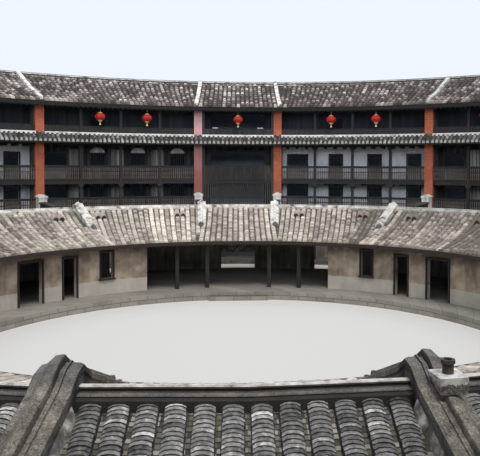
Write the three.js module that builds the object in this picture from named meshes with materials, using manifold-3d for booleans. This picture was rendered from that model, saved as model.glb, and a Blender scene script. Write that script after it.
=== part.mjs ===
// A round earth building of two rings at 1:2: four storeys outside, one storey inside, a round courtyard.
// Sizes below are real metres and degrees. Angles run clockwise from +Y, where the great hall stands.
import * as THREE from "three";
import { mergeVertices } from "three/addons/utils/BufferGeometryUtils.js";
import Module from "manifold-3d";

const wasm = await Module();
wasm.setup();

// Scale and clearances
const modelMillimetres = 500; // one real metre in the model
const rest = 0.001; // gap where one piece rests on another
const cutGap = 0.0015; // gap around a wall that stands in a notch
const splitAngle = 0.0025; // half of the joint between two arcs, in degrees

// Plan: four halls a quarter turn apart, with three sections of four bays between each pair
const hallHalfAngle = 6.77;
const baysPerQuarter = 12;
const bayAngle = (90 - 2 * hallHalfAngle) / baysPerQuarter;
const baysPerSection = 4;
const sectionAngle = bayAngle * baysPerSection;
const quarters = [0, 90, 180, 270];

// Outer ring radii
const plinthInner = 26.45;
const pierFront = 26.7;
const wallRear = 28.2; // rear end of the fire walls, just before the room fronts
const frontInner = 28.25;
const frontThickness = 0.18;
const outerWallInner = 34.1;
const outerWallFoot = 36.45;
const outerWallHead = 35.75;
const footingInner = 34.12;
const footingOuter = 36.75;
const footingTaper = 0.15;

// Levels
const plinthTop = 0.35;
const footingTop = 1.2;
const floorTops = [4.3, 6.7, 9.6];
const floorThickness = 0.25;
const railHeight = 1.05;
const pierTop = 12.16;

// Walls, posts and rails
const pierHalfWidth = 0.31;
const postInner = 26.74;
const postSize = 0.2;
const railInner = 26.8;
const railDepth = 0.08;
const floorInner = 26.95;

// Roof surfaces as radius and height, eave to ridge to eave
const mainRoofTop = [
  [25.95, 12.4],
  [28.9, 13.42],
  [32.55, 14.93],
  [36.1, 13.46],
  [39.05, 12.42],
];
const mainRoofThickness = 0.28;
const mainRidge = 32.55;
const innerRoofTop = [
  [13.07, 3.31],
  [15.0, 3.68],
  [17.0, 4.25],
  [18.85, 4.98],
  [20.4, 4.36],
  [22.4, 3.74],
];
const innerRoofThickness = 0.2;
const innerRidge = 18.85;
const beyond = 0.6; // how far a cutter runs past a wall's face

// Inner ring
const terraceInner = 12.2;
const terraceTop = 0.45;
const courtWallInner = 14.0;
const courtWallThickness = 0.3;
const rearWallInner = 21.3;
const rearWallThickness = 0.3;
const terraceOuter = rearWallInner + rearWallThickness;
const openFrontHalfAngle = 22.5;

// Colours
const colours = {
  earth: 0xb59a76,
  stone: 0x8d8a84,
  granite: 0x9a968e,
  brick: 0xa85a3c,
  plaster: 0xc9c6c0,
  greyPlaster: 0x77736d,
  timber: 0x3a3432,
  darkTimber: 0x2c2829,
  tile: 0x6f6a66,
  whiteCoping: 0xd6d2ca,
  firedClay: 0x6b4a3a,
};

const radians = THREE.MathUtils.degToRad;

// The plan's corners: every hall axis, fire wall and post line
const corners = quarters.flatMap((quarter) => [
  quarter,
  ...Array.from(
    { length: baysPerQuarter + 1 },
    (_, i) => quarter + hallHalfAngle + i * bayAngle,
  ),
]);

function wrapped(angle) {
  return ((angle % 360) + 360) % 360;
}

function apart(one, other) {
  return Math.abs(wrapped(one - other + 180) - 180);
}

// Straight facets run between corners, so between two corners the radius is a little shorter.
function chordFactor(angle) {
  const a = wrapped(angle);
  const next = corners.find((corner) => corner > a + 1e-9) ?? 360;
  const previous = corners.findLast((corner) => corner <= a + 1e-9);
  const half = radians((next - previous) / 2);
  return Math.cos(half) / Math.cos(radians(a - (next + previous) / 2));
}

function place(radius, height, angle, aside = 0) {
  const a = radians(angle);
  return new THREE.Vector3(
    radius * Math.sin(a) + aside * Math.cos(a),
    radius * Math.cos(a) - aside * Math.sin(a),
    height,
  ).multiplyScalar(modelMillimetres);
}

function movePoints(geometry, target) {
  const position = geometry.attributes.position;
  for (let i = 0; i < position.count; i++) {
    const p = target(position.getX(i), position.getY(i), position.getZ(i), i);
    position.setXYZ(i, p.x, p.y, p.z);
  }
  return geometry;
}

function solid(geometry) {
  geometry.deleteAttribute("normal");
  geometry.deleteAttribute("uv");
  const merged = mergeVertices(geometry, 1e-3);
  const vertProperties = new Float32Array(merged.attributes.position.array);
  const triVerts = new Uint32Array(merged.index.array);
  const made = new wasm.Manifold(
    new wasm.Mesh({ numProp: 3, vertProperties, triVerts }),
  );
  if (made.volume() > 0) return made;
  for (let i = 0; i < triVerts.length; i += 3)
    [triVerts[i + 1], triVerts[i + 2]] = [triVerts[i + 2], triVerts[i + 1]];
  return new wasm.Manifold(
    new wasm.Mesh({ numProp: 3, vertProperties, triVerts }),
  );
}

function joined(solids) {
  return solids.reduce((whole, piece) => whole.add(piece));
}

function cut(whole, cutters) {
  return whole.subtract(joined(cutters));
}

function shapeOf(outline) {
  return new THREE.Shape(outline.map(([x, y]) => new THREE.Vector2(x, y)));
}

// A closed section swept round the whole plan
function ring(section) {
  const points = [...section, section[0]].map(
    ([r, z]) => new THREE.Vector2(r, z),
  );
  const geometry = new THREE.LatheGeometry(points, corners.length);
  return solid(
    movePoints(geometry, (x, y, z, i) => {
      const point = points[i % points.length];
      const corner = corners[Math.floor(i / points.length) % corners.length];
      return place(point.x, point.y, corner);
    }),
  );
}

// The same between two angles, with flat ends
function arc(section, from, to) {
  const start = from + splitAngle;
  const end = to - splitAngle;
  const turns = [-360, 0, 360];
  const between = turns
    .flatMap((turn) => corners.map((corner) => corner + turn))
    .filter((angle) => angle > start + 0.01 && angle < end - 0.01);
  const angles = [start, ...between, end];
  const steps = angles.length - 1;
  const geometry = new THREE.ExtrudeGeometry(shapeOf(section), {
    depth: steps,
    steps,
    bevelEnabled: false,
  });
  return solid(
    movePoints(geometry, (r, z, t) => {
      const angle = angles[Math.round(t)];
      return place(r * chordFactor(angle), z, angle);
    }),
  );
}

// A flat plate that stands along a radius, its outline given as radius and height
function radialPlate(outline, halfWidth, angle, aside = 0) {
  const geometry = new THREE.ExtrudeGeometry(shapeOf(outline), {
    depth: 2 * halfWidth,
    bevelEnabled: false,
  });
  return solid(
    movePoints(geometry, (r, z, t) =>
      place(r, z, angle, aside + t - halfWidth),
    ),
  );
}

function rectangle(x0, x1, y0, y1) {
  return [
    [x0, y0],
    [x1, y0],
    [x1, y1],
    [x0, y1],
  ];
}

function radialBlock(r0, r1, z0, z1, halfWidth, angle, aside = 0) {
  return radialPlate(rectangle(r0, r1, z0, z1), halfWidth, angle, aside);
}

// An arched opening's solid, which runs along a radius
function archedBlock(r0, r1, z0, springing, halfWidth, angle) {
  const shape = new THREE.Shape();
  shape.moveTo(-halfWidth, z0);
  shape.lineTo(halfWidth, z0);
  shape.lineTo(halfWidth, springing);
  shape.absarc(0, springing, halfWidth, 0, Math.PI, false);
  const geometry = new THREE.ExtrudeGeometry(shape, {
    depth: r1 - r0,
    curveSegments: 10,
    bevelEnabled: false,
  });
  return solid(
    movePoints(geometry, (s, z, t) => place(r0 + t, z, angle, s)),
  );
}

function heightOn(surface, radius) {
  const i = surface.findIndex(([r]) => r >= radius);
  const [r1, z1] = surface[Math.max(i, 1)];
  const [r0, z0] = surface[Math.max(i, 1) - 1];
  return z0 + ((radius - r0) / (r1 - r0)) * (z1 - z0);
}

// The surface between two radii, raised or lowered, with the bends that lie between
function along(surface, from, to, rise) {
  const bends = surface
    .map(([r]) => r)
    .filter((r) => r > Math.min(from, to) && r < Math.max(from, to));
  if (from > to) bends.reverse();
  return [from, ...bends, to].map((r) => [r, heightOn(surface, r) + rise]);
}

function underRoof(surface, thickness, from, to) {
  return along(surface, from, to, -thickness - rest);
}

function roofSection(surface, thickness) {
  const bottom = surface.map(([r, z]) => [r, z - thickness]).reverse();
  return [...surface, ...bottom];
}

const sectionStarts = quarters.flatMap((quarter) =>
  [0, 1, 2].map((i) => quarter + hallHalfAngle + i * sectionAngle),
);
const fireWallAngles = [
  ...sectionStarts,
  ...quarters.map((quarter) => wrapped(quarter - hallHalfAngle)),
];
const sectionWallAngles = fireWallAngles.filter((angle) =>
  quarters.every((quarter) => apart(angle, quarter) > hallHalfAngle + 1),
);

const root = new THREE.Group();

function addPiece(name, whole, colour, roughness = 0.9) {
  const made = whole.getMesh();
  const geometry = new THREE.BufferGeometry();
  const positions = new Float32Array(made.vertProperties);
  geometry.setAttribute("position", new THREE.BufferAttribute(positions, 3));
  geometry.setIndex(
    new THREE.BufferAttribute(new Uint32Array(made.triVerts), 1),
  );
  geometry.computeVertexNormals();
  const material = new THREE.MeshStandardMaterial({
    color: colour,
    roughness,
    metalness: 0,
  });
  const mesh = new THREE.Mesh(geometry, material);
  mesh.name = name;
  root.add(mesh);
}

function middleOfBay(bay) {
  const quarter = Math.floor(bay / baysPerQuarter) * 90;
  const steps = (bay % baysPerQuarter) + 0.5;
  return quarter + hallHalfAngle + steps * bayAngle;
}

const bays = Array.from({ length: 4 * baysPerQuarter }, (_, i) => i);

// Outer earth wall: small windows near the top, one every second bay, and the gateway opposite the great hall
const gateAngle = 180;
const gateHalfWidth = 1.3;
const gateSpringing = 2.3;
const windowHalfWidth = 0.3;
const windowSill = 10.5;
const windowHead = 11.4;
const hallWindowAngles = quarters.flatMap((quarter) => [
  quarter - hallHalfAngle / 2,
  quarter + hallHalfAngle / 2,
]);
const gateCutter = () =>
  archedBlock(
    outerWallInner - beyond,
    footingOuter + beyond,
    -beyond,
    gateSpringing,
    gateHalfWidth,
    gateAngle,
  );

function addOuterWall() {
  const section = [
    [outerWallInner, footingTop + rest],
    [outerWallFoot, footingTop + rest],
    ...underRoof(mainRoofTop, mainRoofThickness, outerWallHead, outerWallInner),
  ];
  const bayWindows = bays.filter((bay) => bay % 2 === 0).map(middleOfBay);
  const windows = [...bayWindows, ...hallWindowAngles].map((angle) =>
    radialBlock(
      outerWallInner - beyond,
      outerWallFoot + beyond,
      windowSill,
      windowHead,
      windowHalfWidth,
      angle,
    ),
  );
  const cutters = joined([...windows, gateCutter()]);
  quarters.forEach((quarter, i) => {
    const wall = arc(section, quarter - 45, quarter + 45);
    addPiece(`outer_wall_${i + 1}`, wall.subtract(cutters), colours.earth);
  });
  const footing = ring([
    [footingInner, 0],
    [footingOuter, 0],
    [footingOuter - footingTaper, footingTop],
    [footingInner, footingTop],
  ]);
  addPiece("stone_footing", cut(footing, [gateCutter()]), colours.stone);
}

// Dressed stone lining of the gateway
const gateArchInner = 34.16;
const gateArchOuter = 36.35;
const gateJamb = 0.25;

function addGateArch() {
  const outside = archedBlock(
    gateArchInner,
    gateArchOuter,
    0,
    gateSpringing,
    gateHalfWidth - cutGap,
    gateAngle,
  );
  const inside = archedBlock(
    gateArchInner - beyond,
    gateArchOuter + beyond,
    -beyond,
    gateSpringing,
    gateHalfWidth - gateJamb,
    gateAngle,
  );
  addPiece("gate_arch", cut(outside, [inside]), colours.granite);
}

// Fire walls: a brick pier and wall across the galleries, and a low wall that steps down over the patio
const patioWallInner = terraceOuter + rest;
const patioWallOutline = [
  [patioWallInner, 0],
  [pierFront + 0.05, 0],
  [pierFront + 0.05, 5.6],
  [26.0, 5.6],
  [26.0, 5.1],
  [22.48, 4.95],
  [22.48, 3.5],
  [patioWallInner, 3.5],
];
const patioWallHalfWidth = 0.23;
const hallWallShare = 0.73;

function addFireWallPair(name, start, end) {
  const plinth = arc(
    rectangle(plinthInner, wallRear, 0, plinthTop),
    start,
    end,
  );
  const middle = (start + end) / 2;
  const walls = fireWallAngles
    .filter((angle) => apart(angle, middle) < (end - start) / 2)
    .flatMap((angle) => [
      radialBlock(pierFront, wallRear, 0, pierTop, pierHalfWidth, angle),
      radialPlate(patioWallOutline, patioWallHalfWidth, angle),
    ]);
  addPiece(name, joined([plinth, ...walls]), colours.brick);
}

function addFireWalls() {
  const pairEnd = hallHalfAngle + hallWallShare;
  quarters.forEach((quarter, i) => {
    addFireWallPair(`fire_walls_${i + 1}`, quarter - pairEnd, quarter + pairEnd);
    addFireWallPair(
      `section_walls_${i + 1}`,
      quarter + pairEnd,
      quarter + 90 - pairEnd,
    );
  });
}

function addFloors() {
  const notches = fireWallAngles.map((angle) =>
    radialBlock(
      pierFront - beyond,
      wallRear + 0.01,
      floorTops[0] - beyond,
      floorTops[2] + beyond,
      pierHalfWidth + cutGap,
      angle,
    ),
  );
  floorTops.forEach((top, i) => {
    const slab = ring(
      rectangle(floorInner, outerWallInner - 0.01, top - floorThickness, top),
    );
    addPiece(`floor_${i + 2}`, cut(slab, notches), colours.timber);
  });
}

// Room fronts: straight walls between the fire walls, with a way in from the gallery in each bay
const doorHalfWidth = 0.52;
const doorHeight = 2.0;
const stairHalfWidth = 0.8;
const hallOpeningHalfWidth = 2.2;
const hallLintel = 0.35;
const topCeiling = 12.4;
const sillHeight = 0.95;

function openingInBay(bay, base, storey) {
  const inSection = bay % baysPerSection;
  const section = Math.floor(bay / baysPerSection);
  const angle = middleOfBay(bay);
  const r0 = frontInner - beyond;
  const r1 = frontInner + beyond;
  const head = base + doorHeight;
  if (storey === 1 && inSection !== 0) return [];
  if (storey === 4 && inSection !== 1) return [];
  if (inSection === 0)
    return [radialBlock(r0, r1, base - beyond, head, stairHalfWidth, angle)];
  const timberFronted = section % 2 === 1 && storey > 1 && storey < 4;
  const foot = timberFronted ? base + sillHeight : base - beyond;
  return [radialBlock(r0, r1, foot, head, doorHalfWidth, angle)];
}

function addRoomFronts() {
  const bases = [0, ...floorTops];
  bases.forEach((base, i) => {
    const storey = i + 1;
    const foot = i === 0 ? 0 : base + rest;
    const outer = frontInner + frontThickness;
    const head =
      storey < 4
        ? [
            [outer, floorTops[i] - floorThickness - rest],
            [frontInner, floorTops[i] - floorThickness - rest],
          ]
        : underRoof(mainRoofTop, mainRoofThickness, outer, frontInner);
    const wall = ring([[frontInner, foot], [outer, foot], ...head]);
    const doors = bays.flatMap((bay) => openingInBay(bay, base, storey));
    const ceiling = storey < 4 ? floorTops[i] - floorThickness : topCeiling;
    const halls = quarters.map((quarter) =>
      radialBlock(
        frontInner - beyond,
        frontInner + beyond,
        base - beyond,
        ceiling - hallLintel,
        hallOpeningHalfWidth,
        quarter,
      ),
    );
    addPiece(
      `room_front_${storey}`,
      cut(wall, [...doors, ...halls]),
      colours.plaster,
    );
  });
}

// Gallery frames, one between each two fire walls: an eave beam on posts that stand on the plinth, with rails
const railThickness = 0.12;
const boardDrop = 0.1; // a boarded parapet reaches this far below its floor
const boardRise = 0.07; // and this far above an open rail
const degrees = THREE.MathUtils.radToDeg;
const pierClearance = degrees((pierHalfWidth + cutGap) / railInner);
const hallPostAside = degrees(
  (pierHalfWidth + 0.005 + postSize / 2) / postInner,
);

function addGalleryFrame(name, from, to, postAngles, boardedStoreys) {
  const railOuter = railInner + railDepth;
  const postOuter = postInner + postSize;
  const beam = [
    [postInner, pierTop + rest],
    [postOuter, pierTop + rest],
    ...underRoof(mainRoofTop, mainRoofThickness, postOuter, postInner),
  ];
  const bars = floorTops.map((top, i) => {
    const boarded = boardedStoreys.includes(i + 2);
    const head = top + railHeight + (boarded ? boardRise : 0);
    const foot = boarded ? top - boardDrop : head - railThickness;
    return arc(
      rectangle(railInner, railOuter, foot, head),
      from + pierClearance,
      to - pierClearance,
    );
  });
  const posts = postAngles.map((angle) => {
    const inner = postInner * chordFactor(angle);
    return radialBlock(
      inner,
      inner + postSize,
      plinthTop + rest,
      pierTop + 0.05,
      postSize / 2,
      angle,
    );
  });
  addPiece(name, joined([arc(beam, from, to), ...posts, ...bars]), colours.darkTimber);
}

function addGalleryFrames() {
  quarters.forEach((quarter, i) => {
    const from = quarter - hallHalfAngle;
    const to = quarter + hallHalfAngle;
    const posts = [from + hallPostAside, to - hallPostAside];
    addGalleryFrame(`hall_gallery_${i + 1}`, from, to, posts, [3, 4]);
  });
  sectionStarts.forEach((from, i) => {
    const posts = [1, 2, 3].map((step) => from + step * bayAngle);
    addGalleryFrame(`gallery_${i + 1}`, from, from + sectionAngle, posts, [4]);
  });
}

// Skirt roof round the outside of the galleries, under the fourth-storey parapet
function addSkirtRoof() {
  const back = pierFront - rest;
  addPiece(
    "skirt_roof",
    ring([
      [25.92, 9.42],
      [25.92, 9.54],
      [back, 10.18],
      [back, 9.9],
    ]),
    colours.tile,
  );
}

function addRoofQuarters(name, surface, thickness) {
  quarters.forEach((quarter, i) => {
    const piece = arc(
      roofSection(surface, thickness),
      quarter - 45,
      quarter + 45,
    );
    addPiece(`${name}_${i + 1}`, piece, colours.tile);
  });
}

// A ridge cap round the roof and a raised coping over each fire wall, trimmed to the roof below them
function addRidge(name, surface, ridge, copings) {
  const bedded = ridge.foot - trimDepth;
  const inner = ridge.radius - ridge.halfWidth;
  const outer = ridge.radius + ridge.halfWidth;
  const cap = ring(rectangle(inner, outer, bedded, ridge.top));
  const [eave] = surface;
  const farEave = surface[surface.length - 1];
  const trim = ring([
    ...surface.map(([r, z]) => [r, z + rest]),
    [farEave[0], farEave[1] - 2 * trimDepth],
    [ridge.radius, ridge.foot - 2 * trimDepth],
    [eave[0], eave[1] - 2 * trimDepth],
  ]);
  const whole = joined([cap, ...copings]);
  addPiece(name, cut(whole, [trim]), colours.whiteCoping);
}

// A coping's top follows the roof and peaks over the ridge.
function copingTop(surface, rise, ridgeRadius, peak) {
  return surface.map(([r, z]) => [r, z + rise + (r === ridgeRadius ? peak : 0)]);
}

function copingOutline(surface, top, [from, to]) {
  return [...along(surface, from, to, -trimDepth), ...along(top, to, from, 0)];
}

const trimDepth = 0.3;
const mainCopingHalfWidth = 0.15;
const mainCopingTop = copingTop(mainRoofTop, 0.22, mainRidge, 0.12);
const mainCopingReach = [26.35, 38.65];
const hallCopingAside = 3.27; // the hall's copings run side by side up the main roof
const innerCopingHalfWidth = 0.28;
const innerCopingCapHalfWidth = 0.17;
const innerCopingPeak = 0.06;
const innerCopingTop = copingTop(innerRoofTop, 0.44, innerRidge, innerCopingPeak);
const innerLedgeTop = copingTop(innerRoofTop, 0.37, innerRidge, innerCopingPeak);
const innerCopingReach = [16.15, 22.35];

function addMainRidge() {
  const outline = copingOutline(mainRoofTop, mainCopingTop, mainCopingReach);
  const shift = hallCopingAside * Math.tan(radians(hallHalfAngle / 2));
  const shifted = outline.map(([r, z]) => [r - shift, z]);
  const copings = [
    ...sectionWallAngles.map((angle) =>
      radialPlate(outline, mainCopingHalfWidth, angle),
    ),
    ...quarters.flatMap((quarter) =>
      [-hallCopingAside, hallCopingAside].map((aside) =>
        radialPlate(shifted, mainCopingHalfWidth, quarter, aside),
      ),
    ),
  ];
  const ridge = { radius: mainRidge, halfWidth: 0.16, foot: 14.93, top: 15.15 };
  addRidge("main_ridge", mainRoofTop, ridge, copings);
}

// The great hall's copings open less towards the courtyard than the radial ones of the rest of the ring.
const greatHallSkew = 3.17;
const greatHallAside = 1.46;
const greatHallShift = 0.17;

function addInnerRidge() {
  const radial = fireWallAngles.filter(
    (angle) => apart(angle, 0) > hallHalfAngle + 1,
  );
  const steps = [
    [innerCopingTop, innerCopingCapHalfWidth],
    [innerLedgeTop, innerCopingHalfWidth],
  ];
  const copings = steps.flatMap(([top, halfWidth]) => {
    const outline = copingOutline(innerRoofTop, top, innerCopingReach);
    const shifted = outline.map(([r, z]) => [r - greatHallShift, z]);
    return [
      ...radial.map((angle) => radialPlate(outline, halfWidth, angle)),
      ...[-1, 1].map((side) =>
        radialPlate(shifted, halfWidth, side * greatHallSkew, side * greatHallAside),
      ),
    ];
  });
  const ridge = { radius: innerRidge, halfWidth: 0.1, foot: 4.98, top: 5.21 };
  addRidge("inner_ridge", innerRoofTop, ridge, copings);
}

// Inner ring: terrace with steps, walls, eave beam with hall posts
const stepDepth = 0.35;
const stepHalfWidth = 1.7;

function addTerrace() {
  const steps = quarters.map((quarter) =>
    radialBlock(
      terraceInner - stepDepth,
      terraceInner + stepDepth,
      0,
      terraceTop / 2,
      stepHalfWidth,
      quarter,
    ),
  );
  const terrace = ring(rectangle(terraceInner, terraceOuter, 0, terraceTop));
  addPiece("terrace", joined([terrace, ...steps]), colours.stone);
}

const courtDoors = [
  { angle: 50.7, halfWidth: 0.7, foot: 0, head: 2.7 },
  { angle: 41.2, halfWidth: 0.4, foot: 0, head: 2.69 },
  { angle: 32.3, halfWidth: 0.36, foot: 1.35, head: 2.85 },
];

function addCourtWalls() {
  const outer = courtWallInner + courtWallThickness;
  const section = [
    [courtWallInner, terraceTop + rest],
    [outer, terraceTop + rest],
    ...underRoof(innerRoofTop, innerRoofThickness, outer, courtWallInner),
  ];
  quarters.forEach((quarter, i) => {
    const mirrored = i % 2 === 1;
    const openings = courtDoors.map((door) =>
      radialBlock(
        courtWallInner - beyond,
        outer + beyond,
        door.foot,
        door.head,
        door.halfWidth,
        quarter + (mirrored ? 90 - door.angle : door.angle),
      ),
    );
    const wall = arc(
      section,
      quarter + openFrontHalfAngle,
      quarter + 90 - openFrontHalfAngle,
    );
    addPiece(`court_wall_${i + 1}`, cut(wall, openings), colours.greyPlaster);
  });
}

// One doorway to the patio in each section and a wider one in each hall
const sectionDoor = { halfWidth: 0.6, head: 2.6 };
const hallDoor = { halfWidth: 1.2, head: 3.0 };

function addRearWall() {
  const wall = ring([
    [rearWallInner, terraceTop + rest],
    [terraceOuter, terraceTop + rest],
    ...underRoof(innerRoofTop, innerRoofThickness, terraceOuter, rearWallInner),
  ]);
  const doorway = (door, angle) =>
    radialBlock(
      rearWallInner - beyond,
      terraceOuter + beyond,
      0,
      door.head,
      door.halfWidth,
      angle,
    );
  const secondBays = bays.filter((bay) => bay % baysPerSection === 1);
  const doorways = [
    ...secondBays.map((bay) => doorway(sectionDoor, middleOfBay(bay))),
    ...quarters.map((quarter) => doorway(hallDoor, quarter)),
  ];
  addPiece("rear_wall", cut(wall, doorways), colours.greyPlaster);
}

const eaveBeamInner = 13.7;
const eaveBeamOuter = 13.92;
const eaveBeamFoot = 3.02;
const eavePostHalfWidth = 0.11;
const eavePostAngles = [-15.3, -7.8, 7.8, 15.3];

function addInnerEaveBeam() {
  const beam = ring([
    [eaveBeamInner, eaveBeamFoot],
    [eaveBeamOuter, eaveBeamFoot],
    ...underRoof(innerRoofTop, innerRoofThickness, eaveBeamOuter, eaveBeamInner),
  ]);
  const posts = quarters.flatMap((quarter) =>
    eavePostAngles.map((angle) =>
      radialBlock(
        eaveBeamInner - 0.02,
        eaveBeamOuter - 0.02,
        terraceTop + rest,
        eaveBeamFoot + eavePostHalfWidth,
        eavePostHalfWidth,
        quarter + angle,
      ),
    ),
  );
  addPiece("inner_eave_beam", joined([beam, ...posts]), colours.timber);
}

// A fired clay pot on a square base, on the coping beside the near hall
const potAngle = 180 - hallHalfAngle;
const potRadius = 19.34;
const potBaseHalfLength = 0.18;
const potBaseHalfWidth = 0.17;
const potBaseTop = 5.375;
const potTop = 5.54;
const potRimHeight = 0.045;
const potRim = 0.082;
const potPipe = 0.066;
const potBore = 0.052;

function uprightBar(size, z0, z1) {
  const geometry = new THREE.CylinderGeometry(size, size, z1 - z0, 16);
  const middle = (z0 + z1) / 2;
  return solid(
    movePoints(geometry, (x, y, z) =>
      place(potRadius + x, middle + y, potAngle, z),
    ),
  );
}

function addChimneyPot() {
  const near = potRadius - potBaseHalfLength;
  const far = potRadius + potBaseHalfLength;
  const foot = along(innerCopingTop, near, far, rest);
  const base = radialPlate(
    [...foot, [far, potBaseTop], [near, potBaseTop]],
    potBaseHalfWidth,
    potAngle,
  );
  const pipe = uprightBar(potPipe, potBaseTop - potRimHeight, potTop);
  const rim = uprightBar(potRim, potTop - potRimHeight, potTop);
  const bore = uprightBar(potBore, potBaseTop, potTop + beyond);
  addPiece(
    "chimney_pot",
    cut(joined([base, pipe, rim]), [bore]),
    colours.firedClay,
  );
}

addOuterWall();
addGateArch();
addFireWalls();
addFloors();
addRoomFronts();
addGalleryFrames();
addSkirtRoof();
addRoofQuarters("main_roof", mainRoofTop, mainRoofThickness);
addMainRidge();
addTerrace();
addCourtWalls();
addRearWall();
addInnerEaveBeam();
addRoofQuarters("inner_roof", innerRoofTop, innerRoofThickness);
addInnerRidge();
addChimneyPot();

export default root;
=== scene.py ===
import math
from functools import partialmethod
import bmesh
import bpy
import numpy as np
from mathutils import Matrix, Vector


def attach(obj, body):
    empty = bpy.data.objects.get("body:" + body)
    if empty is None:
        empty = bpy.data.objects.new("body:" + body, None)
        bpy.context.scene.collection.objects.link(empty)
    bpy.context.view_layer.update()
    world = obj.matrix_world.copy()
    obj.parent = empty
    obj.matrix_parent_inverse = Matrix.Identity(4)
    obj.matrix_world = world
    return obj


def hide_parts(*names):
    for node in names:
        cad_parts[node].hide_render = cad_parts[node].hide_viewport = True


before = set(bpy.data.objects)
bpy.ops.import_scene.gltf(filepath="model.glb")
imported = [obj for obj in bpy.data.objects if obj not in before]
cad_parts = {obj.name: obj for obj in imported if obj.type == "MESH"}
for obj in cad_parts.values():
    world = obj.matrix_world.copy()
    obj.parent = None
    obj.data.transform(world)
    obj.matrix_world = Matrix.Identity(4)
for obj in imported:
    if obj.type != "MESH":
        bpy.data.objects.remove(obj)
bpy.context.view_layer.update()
print("stage: the packed roundhouse is loaded")

# Sizes below are the building's own metres and degrees; the model is half that size.
# Angles run clockwise from +Y, where the great hall stands.
modelScale = 0.5
chance = np.random.default_rng(11)
quarters = (0, 90, 180, 270)
hallHalf = 6.77
bay = (90 - 2 * hallHalf) / 12
section = 4 * bay
sectionStarts = [q + hallHalf + i * section for q in quarters for i in range(3)]
wallAngles = sectionStarts + [q - hallHalf for q in quarters]
galleryLengths = [(s, s + section) for s in sectionStarts] + [(q - hallHalf, q + hallHalf) for q in quarters]
corners = np.array([q + a for q in quarters for a in (0, *(hallHalf + k * bay for k in range(13)))])
cornersOn = np.append(corners, 360.0)
mainRoof = np.array([(25.95, 12.4), (28.9, 13.42), (32.55, 14.93), (36.1, 13.46), (39.05, 12.42)])
innerRoof = np.array([(13.07, 3.31), (15.0, 3.68), (17.0, 4.25), (18.85, 4.98), (20.4, 4.36), (22.4, 3.74)])
skirtRoof = np.array([(25.92, 9.54), (26.699, 10.18)])
floorTops = (4.3, 6.7, 9.6)
railRadius = 26.84
frontRadius = 28.25


# Places on the plan

def facetOf(x, y):
    # how far a point is turned from the middle of its straight facet, and half the facet's own turn
    angle = np.degrees(np.arctan2(x, y)) % 360
    i = np.searchsorted(corners, angle + 1e-9, side="right")
    low, high = corners[i - 1], cornersOn[i]
    return np.radians(angle - (low + high) / 2), np.radians((high - low) / 2)


def ringRadius(x, y):
    off, half = facetOf(x, y)
    return np.hypot(x, y) * np.cos(off) / np.cos(half)


def roofAt(roof, r):
    return float(np.interp(r, roof[:, 0], roof[:, 1]))


def planPlace(aside, radius, angle):
    a = math.radians(angle)
    return Vector((aside * math.cos(a) + radius * math.sin(a), radius * math.cos(a) - aside * math.sin(a)))


def inDegrees(length, radius):
    return math.degrees(length / radius)


def readPoints(mesh):
    points = np.empty(len(mesh.vertices) * 3)
    mesh.vertices.foreach_get("co", points)
    return points.reshape(-1, 3)


# Turns a bmesh in building metres into a finished piece of the model. With facets, its rounds become the
# plan's straight lengths; with a roof, its heights are counted from that slope.
def addPiece(name, bm, finish, roof=None, facets=True, smooth=None, wobble=None, tone=None):
    mesh = bpy.data.meshes.new(name)
    bm.to_mesh(mesh)
    bm.free()
    points = readPoints(mesh)
    if wobble is not None:
        wobble(mesh, points)
    if facets:
        off, half = facetOf(points[:, 0], points[:, 1])
        points[:, :2] *= (np.cos(half) / np.cos(off))[:, None]
    if roof is not None:
        points[:, 2] += np.interp(ringRadius(points[:, 0], points[:, 1]), roof[:, 0], roof[:, 1])
    mesh.vertices.foreach_set("co", (points * modelScale).ravel())
    mesh.update()
    mesh.materials.append(finish)
    if tone is not None:
        mesh.attributes.new("tone", "FLOAT", "FACE").data.foreach_set("value", [tone] * len(mesh.polygons))
    if smooth:
        mesh.shade_smooth()
        mesh.set_sharp_from_angle(angle=math.radians(smooth))
    piece = bpy.data.objects.new(name, mesh)
    bpy.context.scene.collection.objects.link(piece)
    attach(piece, "root")
    mesh.calc_loop_triangles()
    print("made", name, len(mesh.loop_triangles), "triangles")
    return piece


# Shaping

def turn(bm, angle, verts=None):
    spin = Matrix.Rotation(-math.radians(angle), 3, "Z")
    bmesh.ops.rotate(bm, cent=(0, 0, 0), matrix=spin, verts=verts or bm.verts[:])


def shift(bm, move, verts=None):
    bmesh.ops.translate(bm, vec=move, verts=verts or bm.verts[:])


def block(bm, x, y, z, edge=0.0):
    # a squared timber or stone from x[0] to x[1] and so on, its edges eased
    middle = Vector([(a + b) / 2 for a, b in (x, y, z)])
    size = [b - a for a, b in (x, y, z)]
    place = Matrix.Translation(middle) @ Matrix.Diagonal((*size, 1))
    made = bmesh.ops.create_cube(bm, size=1, matrix=place)
    if edge:
        edges = list({e for v in made["verts"] for e in v.link_edges})
        bmesh.ops.bevel(bm, geom=edges, offset=edge, segments=1, affect="EDGES", profile=0.5, material=-1)


def uprights(bm, middles, halfWide, y, z, edge=0.0):
    # a row of upright bars or boards
    for x in middles:
        block(bm, (x - halfWide, x + halfWide), y, z, edge)


def pushOut(bm, edges, move=None, turned=None):
    # extrudes an open or closed line of edges and moves or turns it; gives the new line and its faces
    made = bmesh.ops.extrude_edge_only(bm, edges=edges)["geom"]
    verts = [g for g in made if isinstance(g, bmesh.types.BMVert)]
    fresh = set(verts)
    if move is not None:
        shift(bm, move, verts)
    if turned is not None:
        turn(bm, turned, verts)
    faces = [g for g in made if isinstance(g, bmesh.types.BMFace)]
    return [g for g in made if isinstance(g, bmesh.types.BMEdge) and set(g.verts) <= fresh], faces


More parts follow.
